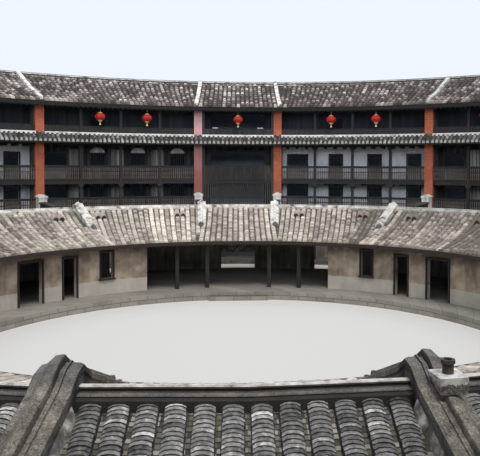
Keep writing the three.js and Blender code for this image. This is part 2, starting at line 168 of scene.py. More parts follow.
def sweepRound(bm, outline, start, end):
    # an outline of (radius, height) points carried round from start to end, angled at the plan's corners
    loop = [bm.verts.new((0, r, z)) for r, z in outline]
    first = bm.faces.new(loop)
    turn(bm, start, loop)
    closed = abs(end - start - 360) < 1e-6
    turns = {a + whole for a in corners for whole in (-360, 0, 360)}
    stops = sorted(a for a in turns if start + 0.01 < a < end - 0.01)
    edges, before, made = first.edges[:], start, [first]
    for stop in (*stops, end):
        edges, faces = pushOut(bm, edges, turned=stop - before)
        made += faces
        before = stop
    if closed:
        bmesh.ops.delete(bm, geom=[first], context="FACES_ONLY")
        bmesh.ops.remove_doubles(bm, verts=bm.verts[:], dist=1e-4)
        made = bm.faces[:]
    else:
        made += bmesh.ops.edgeloop_fill(bm, edges=edges)["faces"]
    bmesh.ops.recalc_face_normals(bm, faces=made)


def sweepAlong(bm, outline, stations):
    # an outline of (aside, rise) points carried outwards through stations of (radius, height)
    r, z = stations[0]
    loop = [bm.verts.new((x, r, z + dz)) for x, dz in outline]
    first = bm.faces.new(loop)
    edges, made = first.edges[:], [first]
    for nextR, nextZ in stations[1:]:
        edges, faces = pushOut(bm, edges, move=(0, nextR - r, nextZ - z))
        made += faces
        r, z = nextR, nextZ
    made += bmesh.ops.edgeloop_fill(bm, edges=edges)["faces"]
    bmesh.ops.recalc_face_normals(bm, faces=made)


def addTo(whole, part):
    spare = bpy.data.meshes.new("spare")
    part.to_mesh(spare)
    part.free()
    whole.from_mesh(spare)
    bpy.data.meshes.remove(spare)


def addRound(whole, outline, start, end, z=0.0):
    # one swept length as a part of its own, its outline raised by z
    part = bmesh.new()
    sweepRound(part, [(r, z + dz) for r, dz in outline], start, end)
    addTo(whole, part)


def fan(pattern, rows):
    # copies of a pattern made at north, in rows of (first angle, step, count)
    whole = bmesh.new()
    for first, step, count in rows:
        part = pattern.copy()
        turn(part, first)
        if count > 1:
            whirl = math.radians(step * (count - 1))
            bmesh.ops.spin(part, geom=part.verts[:] + part.edges[:] + part.faces[:], cent=(0, 0, 0),
                           axis=(0, 0, -1), angle=whirl, steps=count - 1, use_duplicate=True)
        addTo(whole, part)
    pattern.free()
    return whole


def evenRow(start, end, pitch):
    count = max(1, round((end - start) / pitch))
    step = (end - start) / count
    return start + step / 2, step, count


def onceAt(angles):
    return [(a, 1, 1) for a in angles]


# Finishes

def colour(r, g, b):
    # screen values from 0 to 255 as linear light
    return (*(((c / 255 + 0.055) / 1.055) ** 2.4 if c > 10 else c / 3294 for c in (r, g, b)), 1)


def asShade(value):
    return colour(*value) if isinstance(value, tuple) and len(value) == 3 else value


class Flow:
    # the output of a shader node; arithmetic on it adds Math nodes

    def __init__(self, finish, socket):
        self.finish = finish
        self.socket = socket

    def other(self, output):
        return Flow(self.finish, self.socket.node.outputs[output])

    def calc(self, operation, *values):
        return self.finish.node("Math", self, *values, operation=operation)

    def __rsub__(self, value):
        return self.finish.node("Math", value, self, operation="SUBTRACT")

    __add__ = partialmethod(calc, "ADD")
    __sub__ = partialmethod(calc, "SUBTRACT")
    __mul__ = partialmethod(calc, "MULTIPLY")
    __truediv__ = partialmethod(calc, "DIVIDE")
    __mod__ = partialmethod(calc, "MODULO")
    below = partialmethod(calc, "LESS_THAN")
    above = partialmethod(calc, "GREATER_THAN")
    close = partialmethod(calc, "COMPARE")
    orMore = partialmethod(calc, "MAXIMUM")
    floor = partialmethod(calc, "FLOOR")
    fraction = partialmethod(calc, "FRACT")
    size = partialmethod(calc, "ABSOLUTE")


class Finish:
    # a procedural material that is drawn in the building's metres, with x, y, z, radius and angle to draw by

    def __init__(self, name, roughness=0.9):
        self.material = bpy.data.materials.new(name)
        self.material.use_nodes = True
        self.tree = self.material.node_tree
        self.shader = self.tree.nodes["Principled BSDF"]
        self.shader.inputs["Roughness"].default_value = roughness
        real = 1 / modelScale
        self.place = self.stretched(real, real, real, self.node("TexCoord", output="Object"))
        self.x = self.node("SeparateXYZ", self.place)
        self.y, self.z = self.x.other(1), self.x.other(2)
        self.radius = self.node("VectorMath", self.join(self.x, self.y), output="Value", operation="LENGTH")
        self.angle = self.x.calc("ARCTAN2", self.y)

    def node(self, kind, *values, output=0, **settings):
        node = self.tree.nodes.new("ShaderNode" + kind)
        for key, value in settings.items():
            setattr(node, key, value)
        for i, value in enumerate(values):
            if isinstance(value, Flow):
                self.tree.links.new(value.socket, node.inputs[i])
            elif value is not None:
                node.inputs[i].default_value = value
        return Flow(self, node.outputs[output])

    def join(self, x, y, z=0.0):
        return self.node("CombineXYZ", x, y, z)

    def stretched(self, x, y, z, place=None):
        return self.node("VectorMath", place or self.place, (x, y, z), operation="MULTIPLY")

    def grain(self, scale, detail=3.0, roughness=0.55, place=None):
        return self.node("TexNoise", place or self.place, None, scale, detail, roughness)

    def ownShade(self, x, y):
        # a value of its own for each whole x and y
        return self.node("TexWhiteNoise", self.join(x, y))

    def courses(self, place, shades, joint, length, height, smooth=0.2, bias=0.0):
        # bricks, stones or lifts of two shades with a mortar; output 1 says where the mortar is
        first, second, mortar = (asShade(s) for s in shades)
        sizes = (1.0, joint, smooth, bias, length, height)
        return self.node("TexBrick", place, first, second, mortar, *sizes)

    def degrees(self, turned):
        return (self.angle * (180 / math.pi) + 360.0) % turned

    def facing(self):
        # 1 where the surface faces up, -1 where it faces down
        return self.node("SeparateXYZ", self.node("NewGeometry", output="Normal"), output=2)

    def ramp(self, value, *stops):
        # each stop is (value, shade); a shade is one grey or a screen colour
        made = self.node("ValToRGB", value)
        elements = made.socket.node.color_ramp.elements
        while len(elements) < len(stops):
            elements.new(0.5)
        for element, (at, shade) in zip(elements, stops):
            element.position = at
            element.color = asShade(shade) if isinstance(shade, tuple) else (shade, shade, shade, 1)
        return made

    def shades(self, value, places, colours):
        return self.ramp(value, *zip(places, colours))

    def blend(self, factor, a, b, kind="MIX"):
        inputs = (factor, *[None] * 5, asShade(a), asShade(b))
        return self.node("Mix", *inputs, output=2, data_type="RGBA", blend_type=kind)

    def done(self, base, height, strength, distance):
        bump = self.tree.nodes.new("ShaderNodeBump")
        bump.inputs["Strength"].default_value = strength
        bump.inputs["Distance"].default_value = distance
        self.tree.links.new(height.socket, bump.inputs["Height"])
        self.tree.links.new(bump.outputs[0], self.shader.inputs["Normal"])
        self.tree.links.new(base.socket, self.shader.inputs["Base Color"])
        return self.material


def tileFinish(name, colours, moss=0.25, spots=0.8, whiteBelow=None, eastShade=0.0):
    # each cover tile has its own shade from the tone attribute, with weathering and moss over it
    f = Finish(name, 0.85)
    tone = f.node("Attribute", output="Fac", attribute_name="tone")
    patches = (f.grain(0.35) - 0.5) * 0.7
    speckle = (f.grain(14.0, 4.0, 0.7) - 0.5) * spots
    # painted shade: the tiles are darkened towards the east of the ring, where less light falls
    side = f.ramp(f.x / 60.0 + 0.5, (0.3, 0.45), (0.42, 0.0), (0.533, 0.0), (0.72, 1.0))
    value = tone - side * eastShade + patches + speckle
    base = f.shades(value, (0.0, 0.35, 0.68, 1.0), colours)
    mossy = f.ramp(f.grain(2.2, 4.0, 0.65), (0.52, 0.0), (0.68, 1.0))
    base = f.blend(mossy * moss, base, (92, 90, 62))
    if whiteBelow:
        base = f.blend(f.radius.below(whiteBelow) * 0.55, base, (206, 204, 200))
    ridges = (f.radius / 0.11).fraction() * 0.6
    return f.done(base, f.grain(30.0) + ridges, 0.35, 0.006)


def panFinish(name, colours, exposure, columns, moss, edge, court=None):
    # the channels between the cover tiles, and the boarded underside of the roof
    f = Finish(name, 0.92)
    lap = f.radius / exposure
    column = f.angle * (columns / (2 * math.pi))
    own = f.ownShade(lap.floor(), column.floor())
    places = (0.0, 0.6, 1.0)
    base = f.shades(own, places, colours)
    if court:
        base = f.blend(f.radius.below(18.7), base, f.shades(own, places, court))
    base = f.blend(lap.fraction().below(0.3) * 0.8, base, (24, 23, 20))
    mossy = f.ramp(f.grain(1.6, 4.0, 0.6), (0.45, 0.0), (0.62, 1.0))
    base = f.blend(mossy * moss, base, (86, 84, 46))
    boards = f.grain(1.0, place=f.join(column * 6.0, f.radius * 0.3))
    facing = f.facing()
    # painted light: faces turned down are pale blue-grey, lifting the shade under the roof
    ceiling = f.shades(boards, (0.3, 0.7), ((34, 37, 43), (58, 61, 68)))
    below = f.blend(facing.below(-0.5), f.shades(boards, (0.3, 0.7), edge), ceiling)
    base = f.blend(facing.below(0.4), base, below)
    return f.done(base, lap.fraction() + f.grain(20.0), 0.5, 0.01)


def timberFinish(name, colours, upright=True, panels=0.0):
    # weathered timber, its grain upright or lying round the ring; panels gives each board its own shade
    f = Finish(name, 0.75)
    around = f.angle * 28.0
    if upright:
        fibre = f.join(around * 14.0, f.radius * 14.0, f.z * 0.9)
    else:
        fibre = f.join(around * 0.9, f.radius * 14.0, f.z * 16.0)
    value = f.grain(1.0, 4.0, 0.6, fibre) * 0.75 + f.grain(0.8) * 0.3
    height = f.grain(1.6, place=fibre)
    board = around / 0.24
    if panels:
        own = f.ownShade(board.floor(), (f.z / 2.4).floor())
        wide = f.ownShade((around / 1.1).floor(), 3.0)
        value = value + (own + wide - 1.0) * panels
    base = f.shades(value, (0.28, 0.55, 0.85), colours)
    if panels:
        gap = board.fraction().below(0.07)
        base = f.blend(gap * 0.8, base, (16, 14, 13))
        height = height - gap
    return f.done(base, height, 0.4, 0.005)


def plasterFinish(name, colours, scale=1.0, runs=0.6, foot=None, head=None):
    # limewash with rain stains that run down it and blotches where it has come off
    f = Finish(name, 0.95)
    stains = f.grain(1.2 * scale, 5.0, 0.65, f.stretched(3.0, 3.0, 0.35))
    blotches = f.grain(0.9 * scale, 6.0, 0.6)
    base = f.shades(stains * runs + blotches * (1.1 - runs), (0.42, 0.56, 0.77), colours)
    if foot:
        low = (f.z + f.grain(3.0) * 0.12).below(foot["top"])
        base = f.blend(low * foot["share"], base, foot["shade"])
    # painted shade under the eave, partly soot: the wall darkens towards its top
    if head:
        high = f.ramp((f.z + blotches) / 5.0, (head["start"] / 5, 0.0), (head["full"] / 5, head["share"]))
        base = f.blend(high, base, head["shade"])
    return f.done(base, f.grain(9.0, 5.0) + blotches, 0.35, 0.01)


def copingFinish():
    # bright limewash towards the north side of the ring, bare lichen-speckled mortar towards the south
    f = Finish("weatheredCoping", 0.95)
    blotches = f.grain(2.2, 6.0, 0.62)
    white = f.shades(blotches, (0.38, 0.54, 0.66), ((232, 229, 223), (196, 191, 184), (104, 99, 94)))
    lichen = f.grain(40.0, 5.0, 0.8) * 0.6 + f.grain(4.0, 6.0, 0.75) * 0.4
    mortar = ((46, 43, 40), (108, 101, 93), (148, 140, 130), (200, 193, 182))
    grey = f.shades(lichen, (0.39, 0.48, 0.56, 0.66), mortar)
    grey = f.blend(f.ramp(blotches, (0.6, 0.0), (0.74, 1.0)) * 0.4, grey, (196, 190, 180))
    north = f.ramp(f.y / 60.0 + 0.5, (0.3, 0.0), (0.46, 1.0))
    # painted shade: the white thins out towards the east of the ring, where less light falls
    north = north * f.ramp(f.x / 60.0 + 0.5, (0.58, 1.0), (0.68, 0.65))
    fromRidge = (f.radius - 18.85).size()
    near = f.ramp(fromRidge, (0.22, 1.0), (0.4, 0.0))
    grey = f.blend(near * 0.45, grey, (88, 90, 90))
    bright = ((226, 220, 214), (180, 174, 168), (88, 84, 82))
    crest = fromRidge.below(0.12) * f.z.close(5.2, 0.06)
    grey = f.blend(crest, grey, f.shades(f.grain(5.0, 5.0, 0.7), (0.38, 0.56, 0.7), bright))
    # painted shade, partly soot: faces turned away from the sky darken, most near the ridge
    sideShadeAndSoot = f.ramp(f.facing() + blotches * 0.4, (0.55, 1.0), (0.9, 0.0))
    # painted shade in the creases: at the ridge's foot on the roof and under its top band
    foot = f.z.close(4.97, 0.1) + f.z.close(5.108, 0.007) * 0.55
    sideShadeAndSoot = sideShadeAndSoot.orMore(foot * near)
    grey = f.blend(sideShadeAndSoot * (near * 0.5 + 0.38), grey, (34, 33, 32))
    return f.done(f.blend(north, grey, white), lichen + blotches * 1.5, 0.6, 0.012)


def masonryFinish(name, stones, grit, dirt, length, height, radius, dirtShare=0.4):
    # dressed stones in courses, drawn round the ring and across it
    f = Finish(name, 0.92)
    blocks = f.courses(f.join(f.angle * radius + f.radius, f.z), stones, 0.02, length, height)
    fine = f.grain(16.0, 4.0)
    base = f.blend(fine * 0.35, blocks, grit)
    darkened = f.ramp(f.grain(1.1, 6.0, 0.65), (0.45, 0.0), (0.75, 1.0))
    base = f.blend(darkened * dirtShare, base, dirt)
    return f.done(base, fine * 0.4 - blocks.other(1), 0.7, 0.02)


def earthFinish():
    # rammed earth: lifts of about 0.4 m, lengths of about 1.8 m, gravel and long rain stains
    f = Finish("rammedEarth", 0.98)
    around = f.angle * 36.0
    greys = [(v, v, v, 1) for v in (1, 0.72, 0.3)]
    lifts = f.courses(f.join(around, f.z), greys, 0.012, 1.8, 0.42, smooth=0.6)
    broad = f.grain(0.35, 7.0, 0.6)
    runs = f.grain(1.0, 5.0, 0.6, f.join(around * 1.6, f.z * 0.12))
    base = f.shades(broad, (0.3, 0.5, 0.7), ((148, 118, 82), (186, 154, 112), (204, 178, 138)))
    base = f.blend(0.45, base, lifts, "MULTIPLY")
    base = f.blend(f.ramp(runs, (0.55, 0.0), (0.72, 1.0)) * 0.5, base, (112, 90, 66))
    gravel = f.ramp(f.grain(22.0, 3.0, 0.7), (0.58, 0.0), (0.7, 1.0))
    base = f.blend(gravel * 0.35, base, (214, 198, 168))
    # painted light: the wall's inner face, inwards of 34.4 m, is pale blue-grey to lift the shade in the
    # rooms
    inside = f.shades(broad, (0.35, 0.65), ((214, 218, 226), (176, 180, 190)))
    base = f.blend(f.radius.below(34.4), base, inside)
    return f.done(base, broad * 2.0 + (f.grain(12.0, 6.0, 0.7) - lifts.other(1)), 0.7, 0.02)


def rubbleFinish():
    # round river stones bedded in lime for the footing
    f = Finish("riverStoneFooting", 0.9)
    size = 2.6
    edge = f.node("TexVoronoi", f.place, None, size, feature="DISTANCE_TO_EDGE")
    own = f.node("SeparateXYZ", f.node("TexVoronoi", f.place, None, size, output="Color"))
    base = f.shades(own, (0.0, 0.5, 1.0), ((84, 80, 74), (132, 126, 116), (172, 164, 150)))
    joint = f.ramp(edge, (0.03, 1.0), (0.09, 0.0))
    base = f.blend(joint, base, (98, 90, 78))
    base = f.blend(f.grain(14.0, 5.0) * 0.4, base, (60, 58, 52))
    return f.done(base, f.grain(10.0) - joint * 1.6, 0.8, 0.03)


def frontFinish(name, limewash, timber):
    # limewashed sections and boarded sections by turns, the halls always boarded
    f = Finish(name, 0.9)
    turned = f.degrees(360.0)
    quarter = (turned / 90.0).floor()
    index = ((turned - quarter * 90.0 - hallHalf) / section).floor()
    odd = (quarter * 3.0 + index + 12.0) % 2.0
    inHall = index.below(0.0).orMore(index.above(2.0))
    boarded = odd.above(0.5).orMore(inHall)
    around = f.angle * 28.3
    runs = f.grain(1.6, 5.0, 0.6, f.join(around * 2.0, f.z * 0.3))
    wash = f.shades(runs * 0.5 + f.grain(0.8, 6.0) * 0.5, (0.4, 0.56, 0.7), limewash)
    board = around / 0.26
    own = f.ownShade(board.floor(), (around / 1.05).floor())
    fibre = f.grain(1.0, 4.0, place=f.join(around * 12.0, f.z * 0.8))
    wood = f.shades(fibre * 0.6 + own * 0.4, (0.3, 0.55, 0.8), timber)
    gap = board.fraction().below(0.07)
    wood = f.blend(gap * 0.75, wood, (18, 16, 15))
    return f.done(f.blend(boarded, wash, wood), runs + f.grain(12.0) - gap * boarded, 0.35, 0.008)


def fireWallFinish():
    # brick piers, faded pink on one side of the halls, over a stone plinth; patio walls behind, limewashed at
    # their ends and dark with painted shade along the rest
    f = Finish("pierBrickwork", 0.92)
    bricks = ((206, 102, 68), (182, 86, 58), (198, 132, 106))
    brick = f.courses(f.join(f.angle * 26.7 + f.radius, f.z), bricks, 0.016, 0.31, 0.125, bias=-0.2)
    blots = f.grain(1.3, 6.0, 0.6)
    base = f.blend(f.ramp(blots, (0.45, 0.0), (0.72, 1.0)) * 0.45, brick, (120, 66, 50))
    faded = f.degrees(90.0).above(80.0) * f.ramp(blots, (0.3, 1.0), (0.7, 0.6))
    rise = f.z / 16.0
    # painted light: the faded piers grow lighter upwards, against the eave's shadow on their tops
    base = f.blend(faded * 0.75, base, f.shades(rise, (0.45, 0.66), ((142, 98, 106), (240, 196, 204))))
    base = f.blend(f.ramp(rise, (0.36, 0.3), (0.6, 0.0)), base, (70, 40, 32))
    behind = f.shades(blots, (0.35, 0.65), ((104, 102, 103), (66, 63, 62)))
    base = f.blend(f.radius.above(27.12), base, behind)
    runs = f.grain(1.5, 5.0, 0.65, f.stretched(3.0, 3.0, 0.3))
    lime = f.shades(runs, (0.4, 0.56, 0.72), ((222, 220, 214), (176, 172, 164), (84, 80, 74)))
    # painted shade along the patio walls, inwards of 25.9 m
    patioShade = f.shades(runs, (0.4, 0.6), ((70, 68, 66), (46, 44, 43)))
    patio = f.radius.below(26.62)
    base = f.blend(patio, base, f.blend(f.radius.below(25.9), lime, patioShade))
    stone = f.shades(f.grain(6.0, 5.0), (0.35, 0.65), ((62, 59, 55), (104, 99, 92)))
    base = f.blend(f.z.below(0.37), base, stone)
    joints = brick.other(1) * (1.0 - patio)
    return f.done(base, f.grain(14.0, 4.0) * 0.5 - joints, 0.6, 0.012)


def potFinish():
    # a dark clay pipe set in a white mortar foot
    f = Finish("chimneyPotClay", 0.7)
    speck = f.grain(18.0, 5.0, 0.7)
    pipe = f.shades(speck, (0.35, 0.6, 0.8), ((48, 41, 37), (84, 74, 67), (126, 116, 106)))
    whites = ((228, 226, 221), (176, 172, 166), (98, 93, 88))
    foot = f.shades(f.grain(4.5, 6.0, 0.75), (0.42, 0.56, 0.66), whites)
    greys = ((48, 46, 43), (104, 99, 92), (178, 172, 162))
    stone = f.shades(f.grain(34.0, 5.0, 0.8), (0.36, 0.5, 0.66), greys)
    torn = f.z + f.grain(5.0, 6.0, 0.7) * 0.36
    foot = f.blend(torn.below(5.5), foot, stone)
    return f.done(f.blend(f.z.below(5.38), pipe, foot), speck, 0.5, 0.006)


def clothFinish(name, shade, other):
    f = Finish(name, 0.8)
    f.shader.inputs["Sheen Weight"].default_value = 0.08
    return f.done(f.shades(f.grain(12.0), (0.35, 0.65), (shade, other)), f.grain(90.0), 0.2, 0.002)


mainTiles = tileFinish("mainRoofTile", ((58, 50, 47), (108, 97, 91), (160, 148, 141), (210, 201, 193)),
                       moss=0.08, eastShade=0.2)
courtTiles = tileFinish("courtRoofTile", ((103, 95, 86), (162, 151, 141), (202, 190, 177), (241, 231, 217)),
                        moss=0.06, eastShade=0.6)
nearTiles = tileFinish("rearRoofTile", ((46, 45, 45), (104, 102, 101), (150, 147, 144), (232, 228, 222)),
                       moss=0.14, spots=1.5)
skirtTiles = tileFinish("skirtRoofTile", ((40, 39, 40), (74, 73, 74), (108, 106, 106), (164, 162, 160)),
                        whiteBelow=25.93)
mainPans = panFinish("mainRoofChannel", ((34, 31, 29), (58, 53, 49), (88, 82, 76)), 0.16, 520, 0.1,
                     edge=((20, 18, 18), (40, 37, 35)))
innerPans = panFinish("innerRoofChannel", ((66, 63, 59), (122, 118, 112), (186, 182, 176)), 0.078, 366, 0.42,
                      edge=((32, 26, 22), (58, 48, 41)), court=((58, 54, 50), (88, 83, 77), (130, 123, 115)))
coping = copingFinish()
darkUpright = timberFinish("darkUprightTimber", ((20, 19, 20), (41, 38, 38), (72, 67, 64)))
darkLying = timberFinish("darkLyingTimber", ((17, 17, 18), (36, 34, 35), (64, 60, 58)), upright=False)
boarding = timberFinish("boardedParapet", ((24, 22, 23), (44, 41, 41), (66, 62, 60)), panels=0.3)
screenBars = timberFinish("screenBarTimber", ((58, 56, 55), (92, 89, 87), (124, 120, 116)))
paleBars = timberFinish("paleBarTimber", ((70, 62, 55), (112, 102, 92), (150, 140, 128)))
palePanel = timberFinish("palePanelTimber", ((92, 88, 84), (134, 129, 123), (170, 166, 160)), panels=0.4)
eaveTimber = timberFinish("eaveTimber", ((12, 11, 12), (24, 22, 22), (44, 40, 38)), upright=False)
courtEave = timberFinish("courtEaveTimber", ((24, 19, 16), (44, 36, 30), (70, 59, 50)), upright=False)
# painted light: the floors' pale blue-grey lifts the shade inside the galleries and rooms
floorBoards = timberFinish("floorTimber", ((52, 54, 58), (84, 86, 91), (118, 120, 125)), upright=False)
# painted shade: the top storey's front is a dark blue-grey for the shade under the main eave, over dark
# timber
topFront = timberFinish("topStoreyFront", ((22, 25, 32), (34, 39, 49), (54, 59, 70)), panels=0.3)
whitePlaster = plasterFinish("whitePlaster", ((238, 236, 231), (212, 208, 201), (120, 115, 108)))
# painted shade: dark grey, with some weathering, so the patio wall caps sit in shadow
shadedCapPlaster = plasterFinish("shadedCapPlaster", ((78, 76, 74), (58, 56, 55), (38, 36, 36)))
rearPlaster = plasterFinish("rearWallPlaster", ((168, 160, 146), (136, 128, 114), (78, 72, 64)))
groundFront = plasterFinish("groundFront", ((150, 144, 134), (118, 112, 104), (70, 66, 62)))
filletPlaster = plasterFinish("mortarFillet", ((222, 218, 210), (124, 120, 114), (46, 44, 41)), 5.0, 0.2)
# the court walls darken under the eave: painted shade, partly soot
courtPlaster = plasterFinish("courtPlaster", ((188, 170, 150), (156, 140, 122), (96, 84, 72)), runs=0.25,
                             foot=dict(top=1.3, shade=(206, 202, 194), share=0.55),
                             head=dict(start=2.7, full=3.7, shade=(46, 37, 31), share=0.75))
midFront = frontFinish("galleryFront", ((230, 230, 234), (210, 210, 214), (156, 154, 156)),
                       ((34, 32, 33), (60, 57, 58), (96, 92, 90)))
granite = masonryFinish("graniteBlocks", ((158, 152, 142), (136, 131, 122), (92, 86, 78)),
                        (178, 172, 160), (86, 82, 76), 0.9, 0.42, 30.0, dirtShare=0.35)
terraceStone = masonryFinish("terraceStone", ((150, 144, 134), (124, 119, 110), (86, 80, 72)),
                             (170, 164, 152), (84, 80, 72), 1.1, 0.24, 13.0)
lanternRed = clothFinish("lanternRed", (166, 10, 3), (200, 30, 8))
lanternGold = clothFinish("lanternGold", (224, 176, 84), (240, 210, 140))


def dress(finish, *names):
    for name in names:
        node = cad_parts[name]
        node.data.materials.clear()
        node.data.materials.append(finish)


def fourOf(name):
    return [f"{name}_{i}" for i in (1, 2, 3, 4)]


dress(earthFinish(), *fourOf("outer_wall"))
dress(rubbleFinish(), "stone_footing")
dress(granite, "gate_arch")
dress(fireWallFinish(), *fourOf("fire_walls"), *fourOf("section_walls"))
dress(floorBoards, "floor_2", "floor_3", "floor_4")
dress(groundFront, "room_front_1")
dress(midFront, "room_front_2", "room_front_3")
dress(topFront, "room_front_4")
dress(darkUpright, *(f"gallery_{i}" for i in range(1, 13)))
dress(boarding, *fourOf("hall_gallery"))
dress(mainPans, "skirt_roof", *fourOf("main_roof"))
dress(innerPans, *fourOf("inner_roof"))
dress(coping, "main_ridge", "inner_ridge")
dress(potFinish(), "chimney_pot")
dress(terraceStone, "terrace")
dress(courtPlaster, *fourOf("court_wall"))
dress(rearPlaster, "rear_wall")
dress(darkLying, "inner_eave_beam")
print("stage: finishes are ready")


# Roof tiles

# painted shadow: faces so marked are darkened by the edge share, under each lap and along a cover's far sides
riserMark = 1000  # is added to the lap of a face that takes the darker edge shade
cutShare = 0.3  # a fanned column ends nearer to a line than this share of its width


def tileColumn(size, start, end, laps, aside=0.0):
    # one column of lapped cover tiles at north, from the eave end up; heights are above the roof
    bm = bmesh.new()
    lapOf = bm.faces.layers.int.new("lap")
    sides, lip = size["sides"], size["lip"]
    line = []
    for i in range(sides + 1):
        t = math.pi * i / sides
        foot = size["seat"] - (0.06 if i in (0, sides) else 0.0)  # the outer edges sink into the roof
        x = aside - size["width"] / 2 * math.cos(t)
        line.append(bm.verts.new((x, start, foot + size["rise"] * math.sin(t) ** 0.8 + lip)))
    edges = [bm.edges.new(pair) for pair in zip(line, line[1:])]
    bm.faces.new(line)
    step = (end - start) / laps
    for lap in range(laps):
        edges, faces = pushOut(bm, edges, move=(0, step, -lip))
        for face in faces:
            # a cover's far sides take the painted edge shadow too
            darkened = abs(face.calc_center_median().x - aside) > size["width"] * size.get("shadedSidesFrom", 1.0)
            face[lapOf] = lap + riserMark * darkened
        if lap < laps - 1:
            edges, faces = pushOut(bm, edges, move=(0, 0, lip))
            for face in faces:
                face[lapOf] = riserMark + lap
    bmesh.ops.recalc_face_normals(bm, faces=bm.faces[:])
    if sum(f.normal.z for f in bm.faces) < 0:
        bmesh.ops.reverse_faces(bm, faces=bm.faces[:])
    return bm


class TileField:
    # blocks of tile columns that are laid on a roof as one piece

    def __init__(self, size):
        self.size = size
        self.whole = bmesh.new()
        self.blocks = []

    def add(self, column, laps, rows):
        copies = sum(count for _, _, count in rows)
        self.blocks.append((copies, len(column.verts), len(column.faces), laps))
        addTo(self.whole, fan(column, rows))

    def addRadial(self, start, end, laps, rows):
        self.add(tileColumn(self.size, start, end, laps), laps, rows)

    def addParallel(self, start, end, laps, middle, halfWidth, count):
        # a hall's columns side by side over its straight length of roof
        for i in range(count):
            aside = -halfWidth + (i + 0.5) * 2 * halfWidth / count
            back = abs(aside) * math.tan(math.radians(hallHalf / 2))
            self.add(tileColumn(self.size, start - back, end - back, laps, aside), laps, onceAt([middle]))

    def addFanned(self, start, end, laps, pairs, lines, over=0.0):
        # columns between a ridge angle and an eave angle, cut back where they would cross one of the lines
        for ridgeAngle, eaveAngle in pairs:
            foot, head = planPlace(0, start, eaveAngle), planPlace(0, end, ridgeAngle)
            along = (head - foot).normalized()
            low, high = foot.dot(along) - over, head.dot(along)
            step = (high - low) / laps
            gone = 0
            for a, b in lines:
                line = (b - a).normalized()
                across = Vector((line.y, -line.x))
                side = math.copysign(1, (head - a).dot(across))
                for i in range(laps):
                    at = foot + along * (step * (i + 0.5) - over)
                    if side * (at - a).dot(across) < self.size["width"] * cutShare:
                        gone = max(gone, i + 1)
            if gone < laps:
                aside = head.x * along.y - head.y * along.x
                column = tileColumn(self.size, low + gone * step, high, laps - gone, aside)
                self.add(column, laps - gone, onceAt([math.degrees(math.atan2(along.x, along.y))]))

    def loosen(self, mesh, points):
        # gives each tile its own shade and a small slip of its own
        size = self.size
        lap = np.empty(len(mesh.polygons), int)
        mesh.attributes["lap"].data.foreach_get("value", lap)
        tones, asides, rises = [], [], []
        face = 0
        for copies, verts, faces, laps in self.blocks:
            own = chance.beta(*size["shades"], (copies, laps))
            own = own + chance.normal(0, size["streak"], copies)[:, None]
            part = lap[face:face + copies * faces].reshape(copies, faces)
            face += copies * faces
            shade = np.take_along_axis(own, part % riserMark, axis=1)
            # risers and far sides are darkened by edge: painted shadow
            tones.append(np.where(part >= riserMark, shade * size["edge"], shade).ravel())
            tile = np.minimum((np.arange(verts) // (size["sides"] + 1)) // 2, laps - 1)
            asides.append(chance.normal(0, size["loose"], (copies, laps))[:, tile].ravel())
            rises.append(chance.normal(0, size["loose"] * 0.6, (copies, laps))[:, tile].ravel())
        out = points[:, :2] / np.linalg.norm(points[:, :2], axis=1)[:, None]
        aside = np.concatenate(asides)
        points[:, 0] += out[:, 1] * aside
        points[:, 1] -= out[:, 0] * aside
        points[:, 2] += np.concatenate(rises)
        if "droop" in size:
            drop, begins, over = size["droop"]
            points[:, 2] -= drop * np.clip((begins - np.hypot(points[:, 0], points[:, 1])) / over, 0, 1)
        tone = mesh.attributes.new("tone", "FLOAT", "FACE")
        tone.data.foreach_set("value", np.concatenate(tones).astype(np.float32))
        mesh.attributes.remove(mesh.attributes["lap"])

    def lay(self, name, finish, roof):
        return addPiece(name, self.whole, finish, roof, smooth=50, wobble=self.loosen)


# shades is the spread of the tiles' own shades, streak that of whole columns, edge the painted shadow on a
# lap's riser and on a cover's far sides, and loose how far a tile has slipped; hall is half the width and the
# count of a hall's columns
mainCovers = dict(sides=4, width=0.28, rise=0.12, lip=0.045, seat=0.02, shades=(1.3, 1.6), streak=0.05,
                  edge=0.1, loose=0.012, laps=11, hall=(3.12, 17), wallGap=0.17)
mainSlopes = dict(Court=dict(start=25.93, end=32.42, pitch=0.385, at=29.2, hallGap=0.25),
                  Rear=dict(start=39.03, end=32.68, pitch=0.4, at=36.0, hallGap=-1.3))


def tileMainSlope(name, quarter, starts, slope):
    field = TileField(mainCovers)
    wallGap = inDegrees(mainCovers["wallGap"], slope["at"])
    start, end, laps = slope["start"], slope["end"], mainCovers["laps"]
    rows = []
    for i, s in enumerate(starts):
        first = s + (wallGap if i else slope["hallGap"])
        last = s + section - (wallGap if i < 2 else slope["hallGap"])
        rows.append(evenRow(first, last, inDegrees(slope["pitch"], slope["at"])))
    field.addRadial(start, end, laps, rows)
    field.addParallel(start, end, laps, quarter, *mainCovers["hall"])
    field.lay(name, mainTiles, mainRoof)


courtCovers = dict(sides=4, width=0.3, rise=0.1, lip=0.015, seat=0.0, shades=(6.0, 4.6), streak=0.13,
                   edge=0.62, loose=0.008, laps=20, hall=(2.38, 14))
courtDroop = (0.05, 14.2, 0.8)  # southern eaves sag this far, inwards of this radius, over this length
courtOver = 0.3  # northern columns reach this far past the eave, with one lap more
# the last three give a column's angle at the eave: where it starts, and how it grows with the ridge angle
courtFan = dict(eave=13.42, ridge=18.66, columns=22, first=0.55, pitch=1.065, seam=19.72, short=(16.3, 11),
                besideSeam=((0.9, 1.27),), besideHall=((0.45, 1.25), (1.45, 2.35)),
                turned=(1.67, 1.105), beyondSeam=(21.4, 1.4), beforeSeam=(0.55, 1.22))


